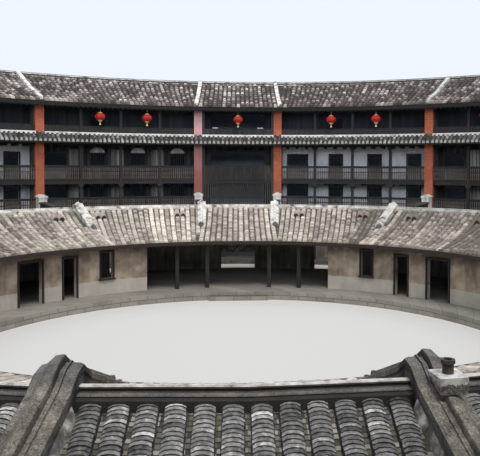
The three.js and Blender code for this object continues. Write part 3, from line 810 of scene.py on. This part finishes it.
def tileCourtSlope(name, q, starts):
    # each hall's columns lie side by side; a section's fan out from the nearer hall, some after a seam
    north = q in (0, 3)
    over, more = (courtOver, 1) if north else (0.0, 0)
    field = TileField(courtCovers if north else dict(courtCovers, droop=courtDroop))
    low, high, seam = courtFan["eave"], courtFan["ridge"], courtFan["seam"]
    laps, hallSide = courtCovers["laps"] + more, courtCovers["hall"][0]
    shortEnd, shortLaps = courtFan["short"][0], courtFan["short"][1] + more
    field.addParallel(low - over, high, laps, quarters[q], *courtCovers["hall"])
    offsets = [courtFan["first"] + courtFan["pitch"] * i for i in range(1, courtFan["columns"] + 1)]
    for i, s in enumerate(starts):
        turnedRound = i == 2 or (i == 1 and q > 1)
        at, way = (s + section, -1) if turnedRound else (s, 1)
        lines = [(planPlace(0, 0, s), planPlace(0, 20, a)) for a in (s, s + section)]
        if i != 1:
            hall = quarters[q] + (90 if i == 2 else 0)
            side = way * (hallSide - 0.02)
            lines.append((planPlace(side, 10, hall), planPlace(side, 20, hall)))
        else:
            short = courtFan["besideHall" if turnedRound else "besideSeam"]
            pairs = [(at + way * u, at + way * w) for u, w in short]
            field.addFanned(low, shortEnd, shortLaps, pairs, lines, over)
        if turnedRound:
            begin, growth = courtFan["turned"]
            pairs = [(at - u, at - begin - growth * u) for u in offsets]
            field.addFanned(low, high, laps, pairs, lines, over)
            continue
        begin, growth = courtFan["beyondSeam"]
        beyond = [(at + u, at + begin + growth * (u - seam)) for u in offsets if u > seam - 0.1]
        field.addFanned(low, high, laps, beyond, lines, over)
        lines.append((planPlace(0, low, beyond[0][1]), planPlace(0, high, beyond[0][0])))
        begin, growth = courtFan["beforeSeam"]
        before = [(at + u, at + begin + growth * u) for u in offsets if u < seam - 0.1]
        field.addFanned(low, high, laps, before, lines, over)
    field.addRadial(low - over, shortEnd, shortLaps, onceAt(starts[1:]))
    field.lay(name, courtTiles, innerRoof)


rearCovers = dict(sides=6, width=0.278, rise=0.082, lip=0.014, seat=0.02, shades=(5.0, 5.0), streak=0.05,
                  edge=0.2, loose=0.003, shadedSidesFrom=0.45, laps=55, start=22.39, end=19.03, pitch=0.983,
                  wallGap=0.3, hall=(1.95, 12))
skirtCovers = dict(sides=4, width=0.2, rise=0.1, lip=0.025, seat=0.02, shades=(2.0, 2.2), streak=0.08,
                   edge=0.3, loose=0.01, laps=3, start=25.9, end=26.69, pitch=0.735)


def tileRearSlope(name, quarter, starts):
    field = TileField(rearCovers)
    start, end, laps, pitch = (rearCovers[key] for key in ("start", "end", "laps", "pitch"))
    gap = inDegrees(rearCovers["wallGap"], 19.2)
    field.addRadial(start, end, laps, [evenRow(s + gap, s + section - gap, pitch) for s in starts])
    field.addParallel(start, end, laps, quarter, *rearCovers["hall"])
    field.lay(name, nearTiles, innerRoof)


def tileSkirt(name, quarter, starts):
    field = TileField(skirtCovers)
    start, end, laps, pitch = (skirtCovers[key] for key in ("start", "end", "laps", "pitch"))
    spans = [(s, s + section) for s in starts] + [(quarter - hallHalf, quarter + hallHalf)]
    field.addRadial(start, end, laps, [evenRow(first, last, pitch) for first, last in spans])
    field.lay(name, skirtTiles, skirtRoof)


for q, quarter in enumerate(quarters):
    starts = sectionStarts[3 * q:3 * q + 3]
    for side, slope in mainSlopes.items():
        tileMainSlope(f"mainCovers{side}_{q + 1}", quarter, starts, slope)
    tileCourtSlope(f"courtCovers_{q + 1}", q, starts)
    tileRearSlope(f"rearCovers_{q + 1}", quarter, starts)
    tileSkirt(f"skirtCovers_{q + 1}", quarter, starts)
print("stage: the roofs are tiled")


# Ridges and copings

innerCoping = dict(rise=0.44, peak=0.12, peakAt=18.78, peakWide=0.42,
                   steps=((16.13, 4.31), (16.46, 4.36), (16.47, 4.47), (16.8, 4.55), (16.81, 4.64)),
                   bends=(17.0, 18.5, 18.75, 18.95, 19.2, 20.4, 22.36))
copingSection = [(-0.21, -0.62), (-0.212, -0.21), (-0.235, -0.195), (-0.232, -0.135), (-0.215, -0.115),
                 (-0.15, -0.1), (-0.06, -0.016), (-0.045, 0.0), (0.05, 0.015), (0.07, 0.01), (0.08, -0.015),
                 (0.086, -0.08), (0.108, -0.086), (0.128, -0.08), (0.134, -0.056), (0.155, -0.054),
                 (0.162, -0.08), (0.178, -0.078), (0.262, -0.082), (0.295, -0.098), (0.302, -0.17),
                 (0.28, -0.19), (0.275, -0.62)]
otherHand = [(-x, z) for x, z in reversed(copingSection)]
halfRidge = [(0.0, 5.182), (0.035, 5.18), (0.052, 5.168), (0.054, 5.15), (0.042, 5.142), (0.04, 5.112),
             (0.07, 5.1), (0.115, 5.09), (0.125, 5.078), (0.118, 5.065), (0.172, 5.04), (0.178, 4.72)]
ridgeMiddle = 18.86
greatHallLean = dict(aside=1.46, outwards=-0.17, angle=3.17)


def copingLine():
    # three steps at the courtyard end, a crest over the ridge, then down the rear
    stations = list(innerCoping["steps"])
    for r in innerCoping["bends"]:
        crest = max(0.0, 1 - abs(r - innerCoping["peakAt"]) / innerCoping["peakWide"])
        stations.append((r, roofAt(innerRoof, r) + innerCoping["rise"] + innerCoping["peak"] * crest))
    return stations


def toWall(bm, angle):
    # moves work made at north on to a wall's line; the great hall's two copings lean as in the photo
    if min(abs(angle - hallHalf), abs(angle + hallHalf)) < 0.01:
        side = 1 if angle > 0 else -1
        shift(bm, (side * greatHallLean["aside"], greatHallLean["outwards"], 0))
        turn(bm, side * greatHallLean["angle"])
    else:
        turn(bm, angle)


ridge = bmesh.new()
ridgeOutline = [(ridgeMiddle + x, z) for x, z in reversed(halfRidge)]
ridgeOutline += [(ridgeMiddle - x, z) for x, z in halfRidge[1:]]
sweepRound(ridge, ridgeOutline, 0, 360)
for angle in wallAngles:
    part = bmesh.new()
    flatFirst = angle in sectionStarts and sectionStarts.index(angle) % 3 < 2
    sweepAlong(part, otherHand if flatFirst else copingSection, copingLine())
    toWall(part, angle)
    addTo(ridge, part)
innerRidgeWork = addPiece("innerRidgeWork", ridge, coping, facets=False)
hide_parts("inner_ridge")

# the main ridge: a bed course, and two rounded courses side by side on it
courseBed = [(32.33, 14.98), (32.77, 14.98), (32.77, 15.05), (32.73, 15.07), (32.37, 15.07), (32.33, 15.05)]
courseCap = [(-0.09, 15.12), (0.09, 15.12), (0.08, 15.17), (0, 15.2), (-0.08, 15.17)]
course = bmesh.new()
sweepRound(course, courseBed, 0, 360)
for middle in (32.5, 32.6):
    sweepRound(course, [(middle + x, z) for x, z in courseCap], 0, 360)
addPiece("mainRidgeCourses", course, mainTiles, facets=False)

filletLook = dict(outline=((0.2, 0.16), (0.28, 0.14), (0.315, 0.05), (0.335, -0.03), (0.2, -0.03)), wave=0.02,
                  places=(19.12, 19.6, 20.0, 20.4, 20.9, 21.5, 22.1))
fillet = bmesh.new()
filletLine = [(r, roofAt(innerRoof, r) + filletLook["wave"] * math.sin(r * 9)) for r in filletLook["places"]]
for side in (-1, 1):
    sweepAlong(fillet, [(side * x, z) for x, z in filletLook["outline"]], filletLine)
straightWalls = [a for a in wallAngles if abs(a) > 7]  # all but the great hall's leaning two
addPiece("copingFillets", fan(fillet, onceAt(straightWalls)), filletPlaster, facets=False)


def archPipe(bm, width, rise, start, end, foot, sides=6):
    # a filled half-round length lying along the roof at north, from start to end
    turns = [math.pi * i / sides for i in range(sides + 1)]
    loop = [bm.verts.new((-width / 2 * math.cos(t), start, foot + rise * math.sin(t))) for t in turns]
    face = bm.faces.new(loop)
    edges, made = pushOut(bm, face.edges[:], move=(0, end - start, 0))
    made += bmesh.ops.edgeloop_fill(bm, edges=edges)["faces"] + [face]
    bmesh.ops.recalc_face_normals(bm, faces=made)


# each section has two small vents; a vent is a pair of hoods
vents = dict(places=((6.4, 20.3), (5.4, 20.1), (section - 5.7, section - 22.3)), halfApart=0.62,
             hood=dict(width=0.4, rise=0.28, start=17.42, end=17.85, foot=0.02),
             mouth=dict(width=0.33, rise=0.24, start=17.38, end=17.5, foot=0.03))
ventAngles = [s + offset for i, s in enumerate(sectionStarts) for offset in vents["places"][i % 3]]
ventRows = onceAt(a + side * vents["halfApart"] for a in ventAngles for side in (-1, 1))
hood = bmesh.new()
archPipe(hood, **vents["hood"])
mouth = bmesh.new()
archPipe(mouth, **vents["mouth"])
addPiece("roofVentHoods", fan(hood, ventRows), courtTiles, innerRoof, smooth=50, tone=0.5)
# painted shade: each mouth is a dark half-round in a hood's opening, for the shade inside the vent
addPiece("roofVentMouths", fan(mouth, ventRows), darkLying, innerRoof)
tailTiles = (dict(width=0.36, rise=0.27, start=15.98, end=16.6, foot=0.0),
             dict(width=0.26, rise=0.19, start=15.8, end=16.1, foot=0.02))
tails = bmesh.new()
for angle in wallAngles:
    part = bmesh.new()
    for tile in tailTiles:
        archPipe(part, **tile)
    toWall(part, angle)
    addTo(tails, part)
addPiece("copingTailTiles", tails, nearTiles, innerRoof, smooth=50, tone=0.25)

bandOutline = [(26.52, 10.06), (26.7, 10.12), (26.7, 10.26), (26.6, 10.26), (26.52, 10.2)]
bandGap = inDegrees(0.32, 26.6)
band = bmesh.new()
for start, end in galleryLengths:
    addRound(band, bandOutline, start + bandGap, end - bandGap)
addPiece("skirtPlasterBand", band, whitePlaster, facets=False)
print("stage: ridges and copings are built")


# Galleries

def atSections(bm, start, end, step, sections=range(12)):
    # copies at equal steps within each section, measured from its first fire wall
    count = round((end - start) / step) + 1
    return fan(bm, [(sectionStarts[i] + start, step, count) for i in sections])


balusterLook = dict(size=0.055, pitch=0.15, foot=0.1, head=0.93, postGap=0.1, pierGap=0.33,
                    heights=(0.0, 0.14, 0.2, 0.5, 0.8, 0.86, 1.0),
                    widths=(1.0, 1.0, 0.62, 1.15, 0.62, 1.0, 1.0))


def baluster(z0, z1):
    # a turned baluster: square foot and head, a waist between
    bm = bmesh.new()
    half = balusterLook["size"] / 2
    heights, widths = balusterLook["heights"], balusterLook["widths"]
    corner = ((-1, -1), (1, -1), (1, 1), (-1, 1))
    face = bm.faces.new([bm.verts.new((half * x, railRadius + half * y, z0)) for x, y in corner])
    edges, made = face.edges[:], [face]
    centre = Matrix.Translation((0, -railRadius, 0))
    for i in range(1, len(heights)):
        edges, faces = pushOut(bm, edges, move=(0, 0, (heights[i] - heights[i - 1]) * (z1 - z0)))
        verts = list({v for e in edges for v in e.verts})
        ratio = widths[i] / widths[i - 1]
        bmesh.ops.scale(bm, vec=(ratio, ratio, 1), space=centre, verts=verts)
        made += faces
    made += bmesh.ops.edgeloop_fill(bm, edges=edges)["faces"]
    bmesh.ops.recalc_face_normals(bm, faces=made)
    return bm


pierGap = inDegrees(balusterLook["pierGap"], railRadius)
postGap = inDegrees(balusterLook["postGap"], railRadius)
rows = []
for start in sectionStarts:
    for i in range(4):
        low = start + i * bay + (pierGap if i == 0 else postGap)
        high = start + (i + 1) * bay - (pierGap if i == 3 else postGap)
        rows.append(evenRow(low, high, inDegrees(balusterLook["pitch"], railRadius)))
for storey, top in ((2, floorTops[0]), (3, floorTops[1])):
    one = baluster(top + balusterLook["foot"], top + balusterLook["head"])
    addPiece(f"balusters_{storey}", fan(one, rows), paleBars)

# handrail, foot rail and middle rail, each (radius, height above the floor)
railOutlines = (
    ((26.77, 1.05), (26.91, 1.05), (26.91, 1.08), (26.88, 1.105), (26.8, 1.105), (26.77, 1.08)),
    ((26.8, 0.04), (26.88, 0.04), (26.88, 0.11), (26.8, 0.11)),
    ((26.81, 0.6), (26.87, 0.6), (26.87, 0.66), (26.81, 0.66)),
)
rails = bmesh.new()
for start in sectionStarts:
    for top in floorTops[:2]:
        for outline in railOutlines:
            addRound(rails, outline, start + pierGap, start + section - pierGap, top)
addPiece("galleryRails", rails, darkLying, facets=False)

beamOutline = ((26.8, -0.3), (26.94, -0.3), (26.94, 0.035), (26.78, 0.035), (26.78, -0.02), (26.8, -0.04))
capOutline = ((26.78, 10.7), (26.9, 10.7), (26.9, 10.735), (26.87, 10.76), (26.81, 10.76), (26.78, 10.735))
hallOutline = ((26.77, 7.8), (26.91, 7.8), (26.91, 7.84), (26.87, 7.87), (26.81, 7.87), (26.77, 7.84))
edgeBeams = bmesh.new()
for start, end in galleryLengths:
    for top in floorTops:
        addRound(edgeBeams, beamOutline, start + pierGap, end - pierGap, top)
    addRound(edgeBeams, capOutline, start + pierGap, end - pierGap)
for quarter in quarters:
    addRound(edgeBeams, hallOutline, quarter - hallHalf + pierGap, quarter + hallHalf - pierGap)
addPiece("galleryEdgeBeams", edgeBeams, darkLying, facets=False)

# a long arm under each beam, and a shorter one under that
bracketLook = dict(heads=(4.0, 6.4, 9.3, 12.16), deep=0.13,
                   upper=((-0.22, 0.22), (26.7, 26.98)), upperEdge=0.02,
                   lower=((-0.15, 0.15), (26.66, 27.02)), lowerEdge=0.03)
deep = bracketLook["deep"]
bracket = bmesh.new()
for head in bracketLook["heads"]:
    block(bracket, *bracketLook["upper"], (head - deep, head), bracketLook["upperEdge"])
    block(bracket, *bracketLook["lower"], (head - 2 * deep, head - deep), bracketLook["lowerEdge"])
addPiece("postBrackets", atSections(bracket, bay, 3 * bay, bay), darkUpright)

joistLook = dict(halfWide=0.06, reach=(26.9, 28.22), under=(0.42, 0.25), pitch=bay / 4, edge=0.01,
                 wallGap=0.8, hallReach=5.9)
joists = bmesh.new()
for top in floorTops:
    low, high = (top - down for down in joistLook["under"])
    uprights(joists, (0,), joistLook["halfWide"], joistLook["reach"], (low, high), joistLook["edge"])
gap, reach, pitch = joistLook["wallGap"], joistLook["hallReach"], joistLook["pitch"]
joistRows = [evenRow(s + gap, s + section - gap, pitch) for s in sectionStarts]
joistRows += [evenRow(q - reach, q + reach, pitch) for q in quarters]
addPiece("galleryJoists", fan(joists, joistRows), darkLying)

# upright bars over each hall's front, clear of its piers by gap degrees
hallScreens = dict(halfWide=0.028, reach=(26.815, 26.87), heights=(4.32, 6.42), edge=0.008,
                   gap=1.15, pitch=0.175)
parapetBattens = dict(halfWide=0.018, reach=(26.782, 26.802), heights=(6.62, 7.8), edge=0.006,
                      gap=1.1, pitch=0.21)
for name, look, finish in (("hallScreens", hallScreens, screenBars),
                           ("parapetBattens", parapetBattens, darkUpright)):
    bars = bmesh.new()
    uprights(bars, (0,), look["halfWide"], look["reach"], look["heights"], look["edge"])
    gap, pitch = look["gap"], inDegrees(look["pitch"], railRadius)
    rows = [evenRow(q - hallHalf + gap, q + hallHalf - gap, pitch) for q in quarters]
    addPiece(name, fan(bars, rows), finish)
print("stage: the galleries are fitted")


# Room fronts

def leafFrame(bm, halfWidth, z0, z1, r=frontRadius, depth=0.1, thick=0.07, sill=True):
    # a door or window frame set round an opening, at north
    outside, inside = halfWidth + thick, halfWidth - 0.01
    for x in ((-outside, -inside), (inside, outside)):
        block(bm, x, (r - depth, r + 0.02), (z0, z1 + thick), 0.01)
    block(bm, (-outside, outside), (r - depth - 0.015, r + 0.02), (z1 - 0.01, z1 + thick + 0.02), 0.01)
    if sill:
        reach = halfWidth + 0.12
        block(bm, (-reach, reach), (r - depth - 0.04, r + 0.02), (z0 - 0.07, z0 + 0.01), 0.01)


roomFront = dict(halfWidth=0.52, wideHalf=0.8, head=2.0, windowFoot=0.95,
                 transom=(1.62, 1.68), transomReach=(28.28, 28.34), transomEdge=0.008,
                 bars=(-0.34, -0.17, 0.0, 0.17, 0.34), barHalf=0.018, barReach=(28.3, 28.335))
evenSections = range(0, 12, 2)
oddSections = range(1, 12, 2)
half, head = roomFront["halfWidth"], roomFront["head"]
frames = bmesh.new()
for base in floorTops[:2]:
    doors = bmesh.new()
    leafFrame(doors, half, base, base + head, sill=False)
    low, high = roomFront["transom"]
    reach = roomFront["transomReach"]
    block(doors, (-half, half), reach, (base + low, base + high), roomFront["transomEdge"])
    addTo(frames, atSections(doors, 1.5 * bay, 3.5 * bay, bay, evenSections))
    windows = bmesh.new()
    opening = (base + roomFront["windowFoot"], base + head)
    leafFrame(windows, half, *opening)
    uprights(windows, roomFront["bars"], roomFront["barHalf"], roomFront["barReach"], opening)
    addTo(frames, atSections(windows, 1.5 * bay, 3.5 * bay, bay, oddSections))
    stairs = bmesh.new()
    leafFrame(stairs, roomFront["wideHalf"], base, base + head, sill=False)
    addTo(frames, atSections(stairs, 0.5 * bay, 0.5 * bay, bay))
for wide, base, at in ((half, floorTops[2], 1.5 * bay), (roomFront["wideHalf"], 0, 0.5 * bay)):
    doors = bmesh.new()
    leafFrame(doors, wide, base, base + head, sill=False)
    addTo(frames, atSections(doors, at, at, bay))
addPiece("roomFrontFrames", frames, darkUpright)

lunetteLook = dict(radius=0.56, segments=28, middle=(0, 28.2, 8.78), flatten=0.76, thick=0.05)
lunette = bmesh.new()
middle = lunetteLook["middle"]
upright = Matrix.Translation(middle) @ Matrix.Rotation(math.pi / 2, 4, "X")
bmesh.ops.create_circle(lunette, cap_ends=True, radius=lunetteLook["radius"],
                        segments=lunetteLook["segments"], matrix=upright)
bmesh.ops.bisect_plane(lunette, geom=lunette.verts[:] + lunette.edges[:] + lunette.faces[:],
                       plane_co=middle, plane_no=(0, 0, -1), clear_outer=True)
bmesh.ops.scale(lunette, vec=(1, 1, lunetteLook["flatten"]), space=Matrix.Translation((0, 0, -middle[2])),
                verts=lunette.verts[:])
bmesh.ops.solidify(lunette, geom=lunette.faces[:], thickness=lunetteLook["thick"])
bmesh.ops.recalc_face_normals(lunette, faces=lunette.faces[:])
lunettes = atSections(lunette, 1.5 * bay, 3.5 * bay, bay, oddSections)
addPiece("windowLunettes", lunettes, whitePlaster)

# three boards to a bay, on storey 3 and storey 2
paleBoards = dict(starts=(-0.52, -0.18, 0.16), wide=0.3, reach=(28.2, 28.25), edge=0.01,
                  heights=((floorTops[1], 1.0, 2.35), (floorTops[0], 0.95, 2.05)))
panels = bmesh.new()
for base, low, high in paleBoards["heights"]:
    for x in paleBoards["starts"]:
        ends = (x, x + paleBoards["wide"])
        block(panels, ends, paleBoards["reach"], (base + low, base + high), paleBoards["edge"])
addPiece("palePanels", atSections(panels, bay, 3 * bay, bay, oddSections), palePanel)


# Piers and patio walls

# a squared foot with a moulded head on it, whose outline is given for one half
patioFoot = dict(body=((-0.305, 0.305), (25.97, 26.66), (4.35, 5.46)), edge=0.02,
                 headStart=25.94, headLong=0.74,
                 head=((0.0, 5.7), (0.13, 5.69), (0.17, 5.64), (0.29, 5.61), (0.345, 5.57), (0.36, 5.52),
                       (0.345, 5.47), (0.29, 5.43)))
feet = bmesh.new()
block(feet, *patioFoot["body"], patioFoot["edge"])
outline = [*patioFoot["head"], *((-x, z) for x, z in reversed(patioFoot["head"][1:]))]
face = feet.faces.new([feet.verts.new((x, patioFoot["headStart"], z)) for x, z in outline])
made = bmesh.ops.extrude_face_region(feet, geom=[face])
shift(feet, (0, patioFoot["headLong"], 0), [g for g in made["geom"] if isinstance(g, bmesh.types.BMVert)])
bmesh.ops.recalc_face_normals(feet, faces=feet.faces[:])
addPiece("patioWallFeet", fan(feet, onceAt(wallAngles)), whitePlaster, facets=False)

patioCap = dict(line=((22.5, 4.955), (25.98, 5.1)),
                outline=((-0.29, -0.03), (0.29, -0.03), (0.29, 0.03), (0.2, 0.07), (-0.2, 0.07),
                         (-0.29, 0.03)),
                endStone=((-0.26, 0.26), (22.34, 22.52), (4.9, 5.12)), edge=0.03)
caps = bmesh.new()
sweepAlong(caps, patioCap["outline"], patioCap["line"])
block(caps, *patioCap["endStone"], patioCap["edge"])
# the caps take the dark grey painted shade
addPiece("patioWallCaps", fan(caps, onceAt(wallAngles)), shadedCapPlaster, facets=False)
print("stage: room fronts and piers are fitted")


# Inner ring fronts

def addRafters(name, look, rows, finish):
    # one rafter lies along line, which gives (radius, height) of its top
    rafter = bmesh.new()
    half, deep = look["halfWide"], look["deep"]
    sweepAlong(rafter, [(-half, -deep), (half, -deep), (half, 0.0), (-half, 0.0)], look["line"])
    addPiece(name, fan(rafter, rows), finish)


courtRafters = dict(halfWide=0.045, deep=0.1, pitch=1.125, line=((13.36, 3.165), (13.7, 3.23), (14.0, 3.285)))
addRafters("courtRafterEnds", courtRafters, [evenRow(0, 360, courtRafters["pitch"])], courtEave)

fascia = bmesh.new()
sweepRound(fascia, [(13.08, 3.19), (13.13, 3.19), (13.15, 3.3), (13.08, 3.29)], 0, 360)
addPiece("courtFascia", fascia, courtEave, facets=False)

# a double doorway, a single doorway and a barred window: angle, half width, foot and head
courtOpenings = ((50.7, 0.7, 0.45, 2.7), (41.2, 0.4, 0.45, 2.69), (32.3, 0.36, 1.35, 2.85))
courtBars = dict(middles=(-0.2, -0.07, 0.07, 0.2), half=0.015, reach=(14.08, 14.11), wall=14.0)
courtFrames = bmesh.new()
for angle, halfWidth, z0, z1 in courtOpenings:
    one = bmesh.new()
    isWindow = z0 > 1
    leafFrame(one, halfWidth, z0, z1, courtBars["wall"], sill=isWindow)
    if isWindow:
        uprights(one, courtBars["middles"], courtBars["half"], courtBars["reach"], (z0, z1))
    angles = [q + (angle if i % 2 == 0 else 90 - angle) for i, q in enumerate(quarters)]
    addTo(courtFrames, fan(one, onceAt(angles)))
addPiece("courtWallFrames", courtFrames, darkUpright)


# Outer wall

rearRafters = dict(halfWide=0.06, deep=0.14, pitch=bay / 9,
                   line=((35.7, 13.3), (36.1, 13.15), (38.95, 12.15)))
bays = [(s + k * bay, s + (k + 1) * bay) for s in sectionStarts for k in range(4)]
bays += [(q - hallHalf, q + hallHalf) for q in quarters]
addRafters("rearRafters", rearRafters, [evenRow(a, b, rearRafters["pitch"]) for a, b in bays], darkLying)

eaveRafters = dict(halfWide=0.05, deep=0.12, pitch=bay / 8, line=((26.02, 12.13), (28.2, 12.88)))
addRafters("courtEaveRafters", eaveRafters, [evenRow(0, 360, eaveRafters["pitch"])], darkLying)

boards = bmesh.new()
sweepRound(boards, [(25.97, 12.09), (26.02, 12.09), (26.03, 12.3), (25.97, 12.3)], 0, 360)
sweepRound(boards, [(38.97, 12.05), (39.02, 12.05), (39.02, 12.33), (38.96, 12.33)], 0, 360)
addPiece("eaveBoards", boards, eaveTimber, facets=False)

outerWindow = dict(halfWidth=0.3, heights=(10.5, 11.4), radius=35.9, depth=-0.04, thick=0.08, barsEachSide=3,
                   barPitch=0.08, barHalf=0.024, barReach=(35.72, 35.77))
heights, radius, side = outerWindow["heights"], outerWindow["radius"], outerWindow["barsEachSide"]
outerFrames = bmesh.new()
leafFrame(outerFrames, outerWindow["halfWidth"], *heights, radius, outerWindow["depth"], outerWindow["thick"])
middles = [outerWindow["barPitch"] * i for i in range(-side, side + 1)]
uprights(outerFrames, middles, outerWindow["barHalf"], outerWindow["barReach"], heights)
angles = [s + (k + 0.5) * bay for s in sectionStarts for k in (0, 2)]
angles += [q + side * hallHalf / 2 for q in quarters for side in (-1, 1)]
addPiece("outerWindowFrames", fan(outerFrames, onceAt(angles)), darkUpright)


# Lanterns

lanternLook = dict(radius=0.38, flatten=0.78, waist=0.94, place=(26.4, 11.45), bays=(1.45, 2.65))
lantern = bmesh.new()
bmesh.ops.create_uvsphere(lantern, u_segments=16, v_segments=9, radius=lanternLook["radius"])
bmesh.ops.scale(lantern, vec=(1, 1, lanternLook["flatten"]), verts=lantern.verts[:])
for vert in lantern.verts:
    spoke = math.atan2(vert.co.y, vert.co.x) * 8 / math.pi
    if round(spoke) % 2 and abs(vert.co.z) < 0.28:
        vert.co.xy *= lanternLook["waist"]
lanternRadius, lanternHeight = lanternLook["place"]
shift(lantern, (0, lanternRadius, lanternHeight))
lanternRows = onceAt([s + k * bay for s in sectionStarts for k in lanternLook["bays"]] + list(quarters))
addPiece("lanterns", fan(lantern, lanternRows), lanternRed)

# collar, base, knot, tassel and hanger: lower and upper height, lower and upper radius
trimParts = ((11.7, 11.78, 0.17, 0.15), (11.12, 11.2, 0.15, 0.17), (11.02, 11.12, 0.04, 0.09),
             (10.84, 11.02, 0.09, 0.03), (11.78, 12.2, 0.012, 0.012))
trim = bmesh.new()
for z0, z1, r0, r1 in trimParts:
    place = Matrix.Translation((0, lanternRadius, (z0 + z1) / 2))
    bmesh.ops.create_cone(trim, cap_ends=True, segments=10, radius1=r0, radius2=r1,
                          depth=z1 - z0, matrix=place)
addPiece("lanternTrims", fan(trim, lanternRows), lanternGold)
print("stage: the inner fronts, outer wall and lanterns are fitted")


# Stage, light and camera

surroundings = dict(floorSize=80, floorColour=(0.62, 0.6, 0.57, 1), skyColour=(0.86, 0.92, 1.0, 1), sky=1.0)
suns = dict(
    softSun=dict(strength=1.75, turned=166, height=58, spread=25, tint=(1.0, 0.97, 0.92), shadows=True),
    frontFill=dict(strength=1.25, turned=183, height=8, spread=40, tint=(0.84, 0.91, 1.0), shadows=True),
    hazeFill=dict(strength=0.15, turned=183, height=4, spread=40, tint=(0.55, 0.78, 1.0), shadows=False),
)
view = dict(place=(-0.06635, -13.31, 3.862), yaw=0.0701, pitch=0.0207, roll=-0.0031, lens=50.04,
            shift=(-0.0898, -0.0984))

floor = bmesh.new()
bmesh.ops.create_grid(floor, x_segments=1, y_segments=1, size=surroundings["floorSize"])
floorMesh = bpy.data.meshes.new("floor")
floor.to_mesh(floorMesh)
floor.free()
floorFinish = Finish("paleFloor", 0.95)
floorFinish.shader.inputs["Base Color"].default_value = surroundings["floorColour"]
floorMesh.materials.append(floorFinish.material)
floorPiece = bpy.data.objects.new("floor", floorMesh)
bpy.context.scene.collection.objects.link(floorPiece)

world = bpy.data.worlds.new("softSky")
bpy.context.scene.world = world
world.use_nodes = True
sky = world.node_tree.nodes["Background"]
sky.inputs["Color"].default_value = surroundings["skyColour"]
sky.inputs["Strength"].default_value = surroundings["sky"]

for name, sun in suns.items():
    lamp = bpy.data.lights.new(name, "SUN")
    lamp.energy = sun["strength"]
    lamp.color = sun["tint"]
    lamp.angle = math.radians(sun["spread"])
    lamp.use_shadow = sun["shadows"]
    lampObject = bpy.data.objects.new(name, lamp)
    bpy.context.scene.collection.objects.link(lampObject)
    a, h = math.radians(sun["turned"]), math.radians(sun["height"])
    towards = Vector((math.sin(a) * math.cos(h), math.cos(a) * math.cos(h), math.sin(h)))
    lampObject.rotation_euler = towards.to_track_quat("Z", "Y").to_euler()

yaw, pitch, roll = view["yaw"], view["pitch"], view["roll"]
forward = Vector((math.sin(yaw) * math.cos(pitch), math.cos(yaw) * math.cos(pitch), -math.sin(pitch)))
level = Vector((math.cos(yaw), -math.sin(yaw), 0))
below = forward.cross(level)
right = math.cos(roll) * level + math.sin(roll) * below
down = math.cos(roll) * below - math.sin(roll) * level
lensData = bpy.data.cameras.new("photoCamera")
lensData.lens = view["lens"]
lensData.sensor_width = 36
lensData.shift_x, lensData.shift_y = view["shift"]
lensData.clip_start, lensData.clip_end = 0.05, 300
camera = bpy.data.objects.new("photoCamera", lensData)
bpy.context.scene.collection.objects.link(camera)
aim = Matrix((right, -down, -forward)).transposed().to_4x4()
camera.matrix_world = Matrix.Translation(view["place"]) @ aim
bpy.context.scene.camera = camera
bpy.context.scene.view_settings.view_transform = "Standard"
print("stage: light and camera are set")
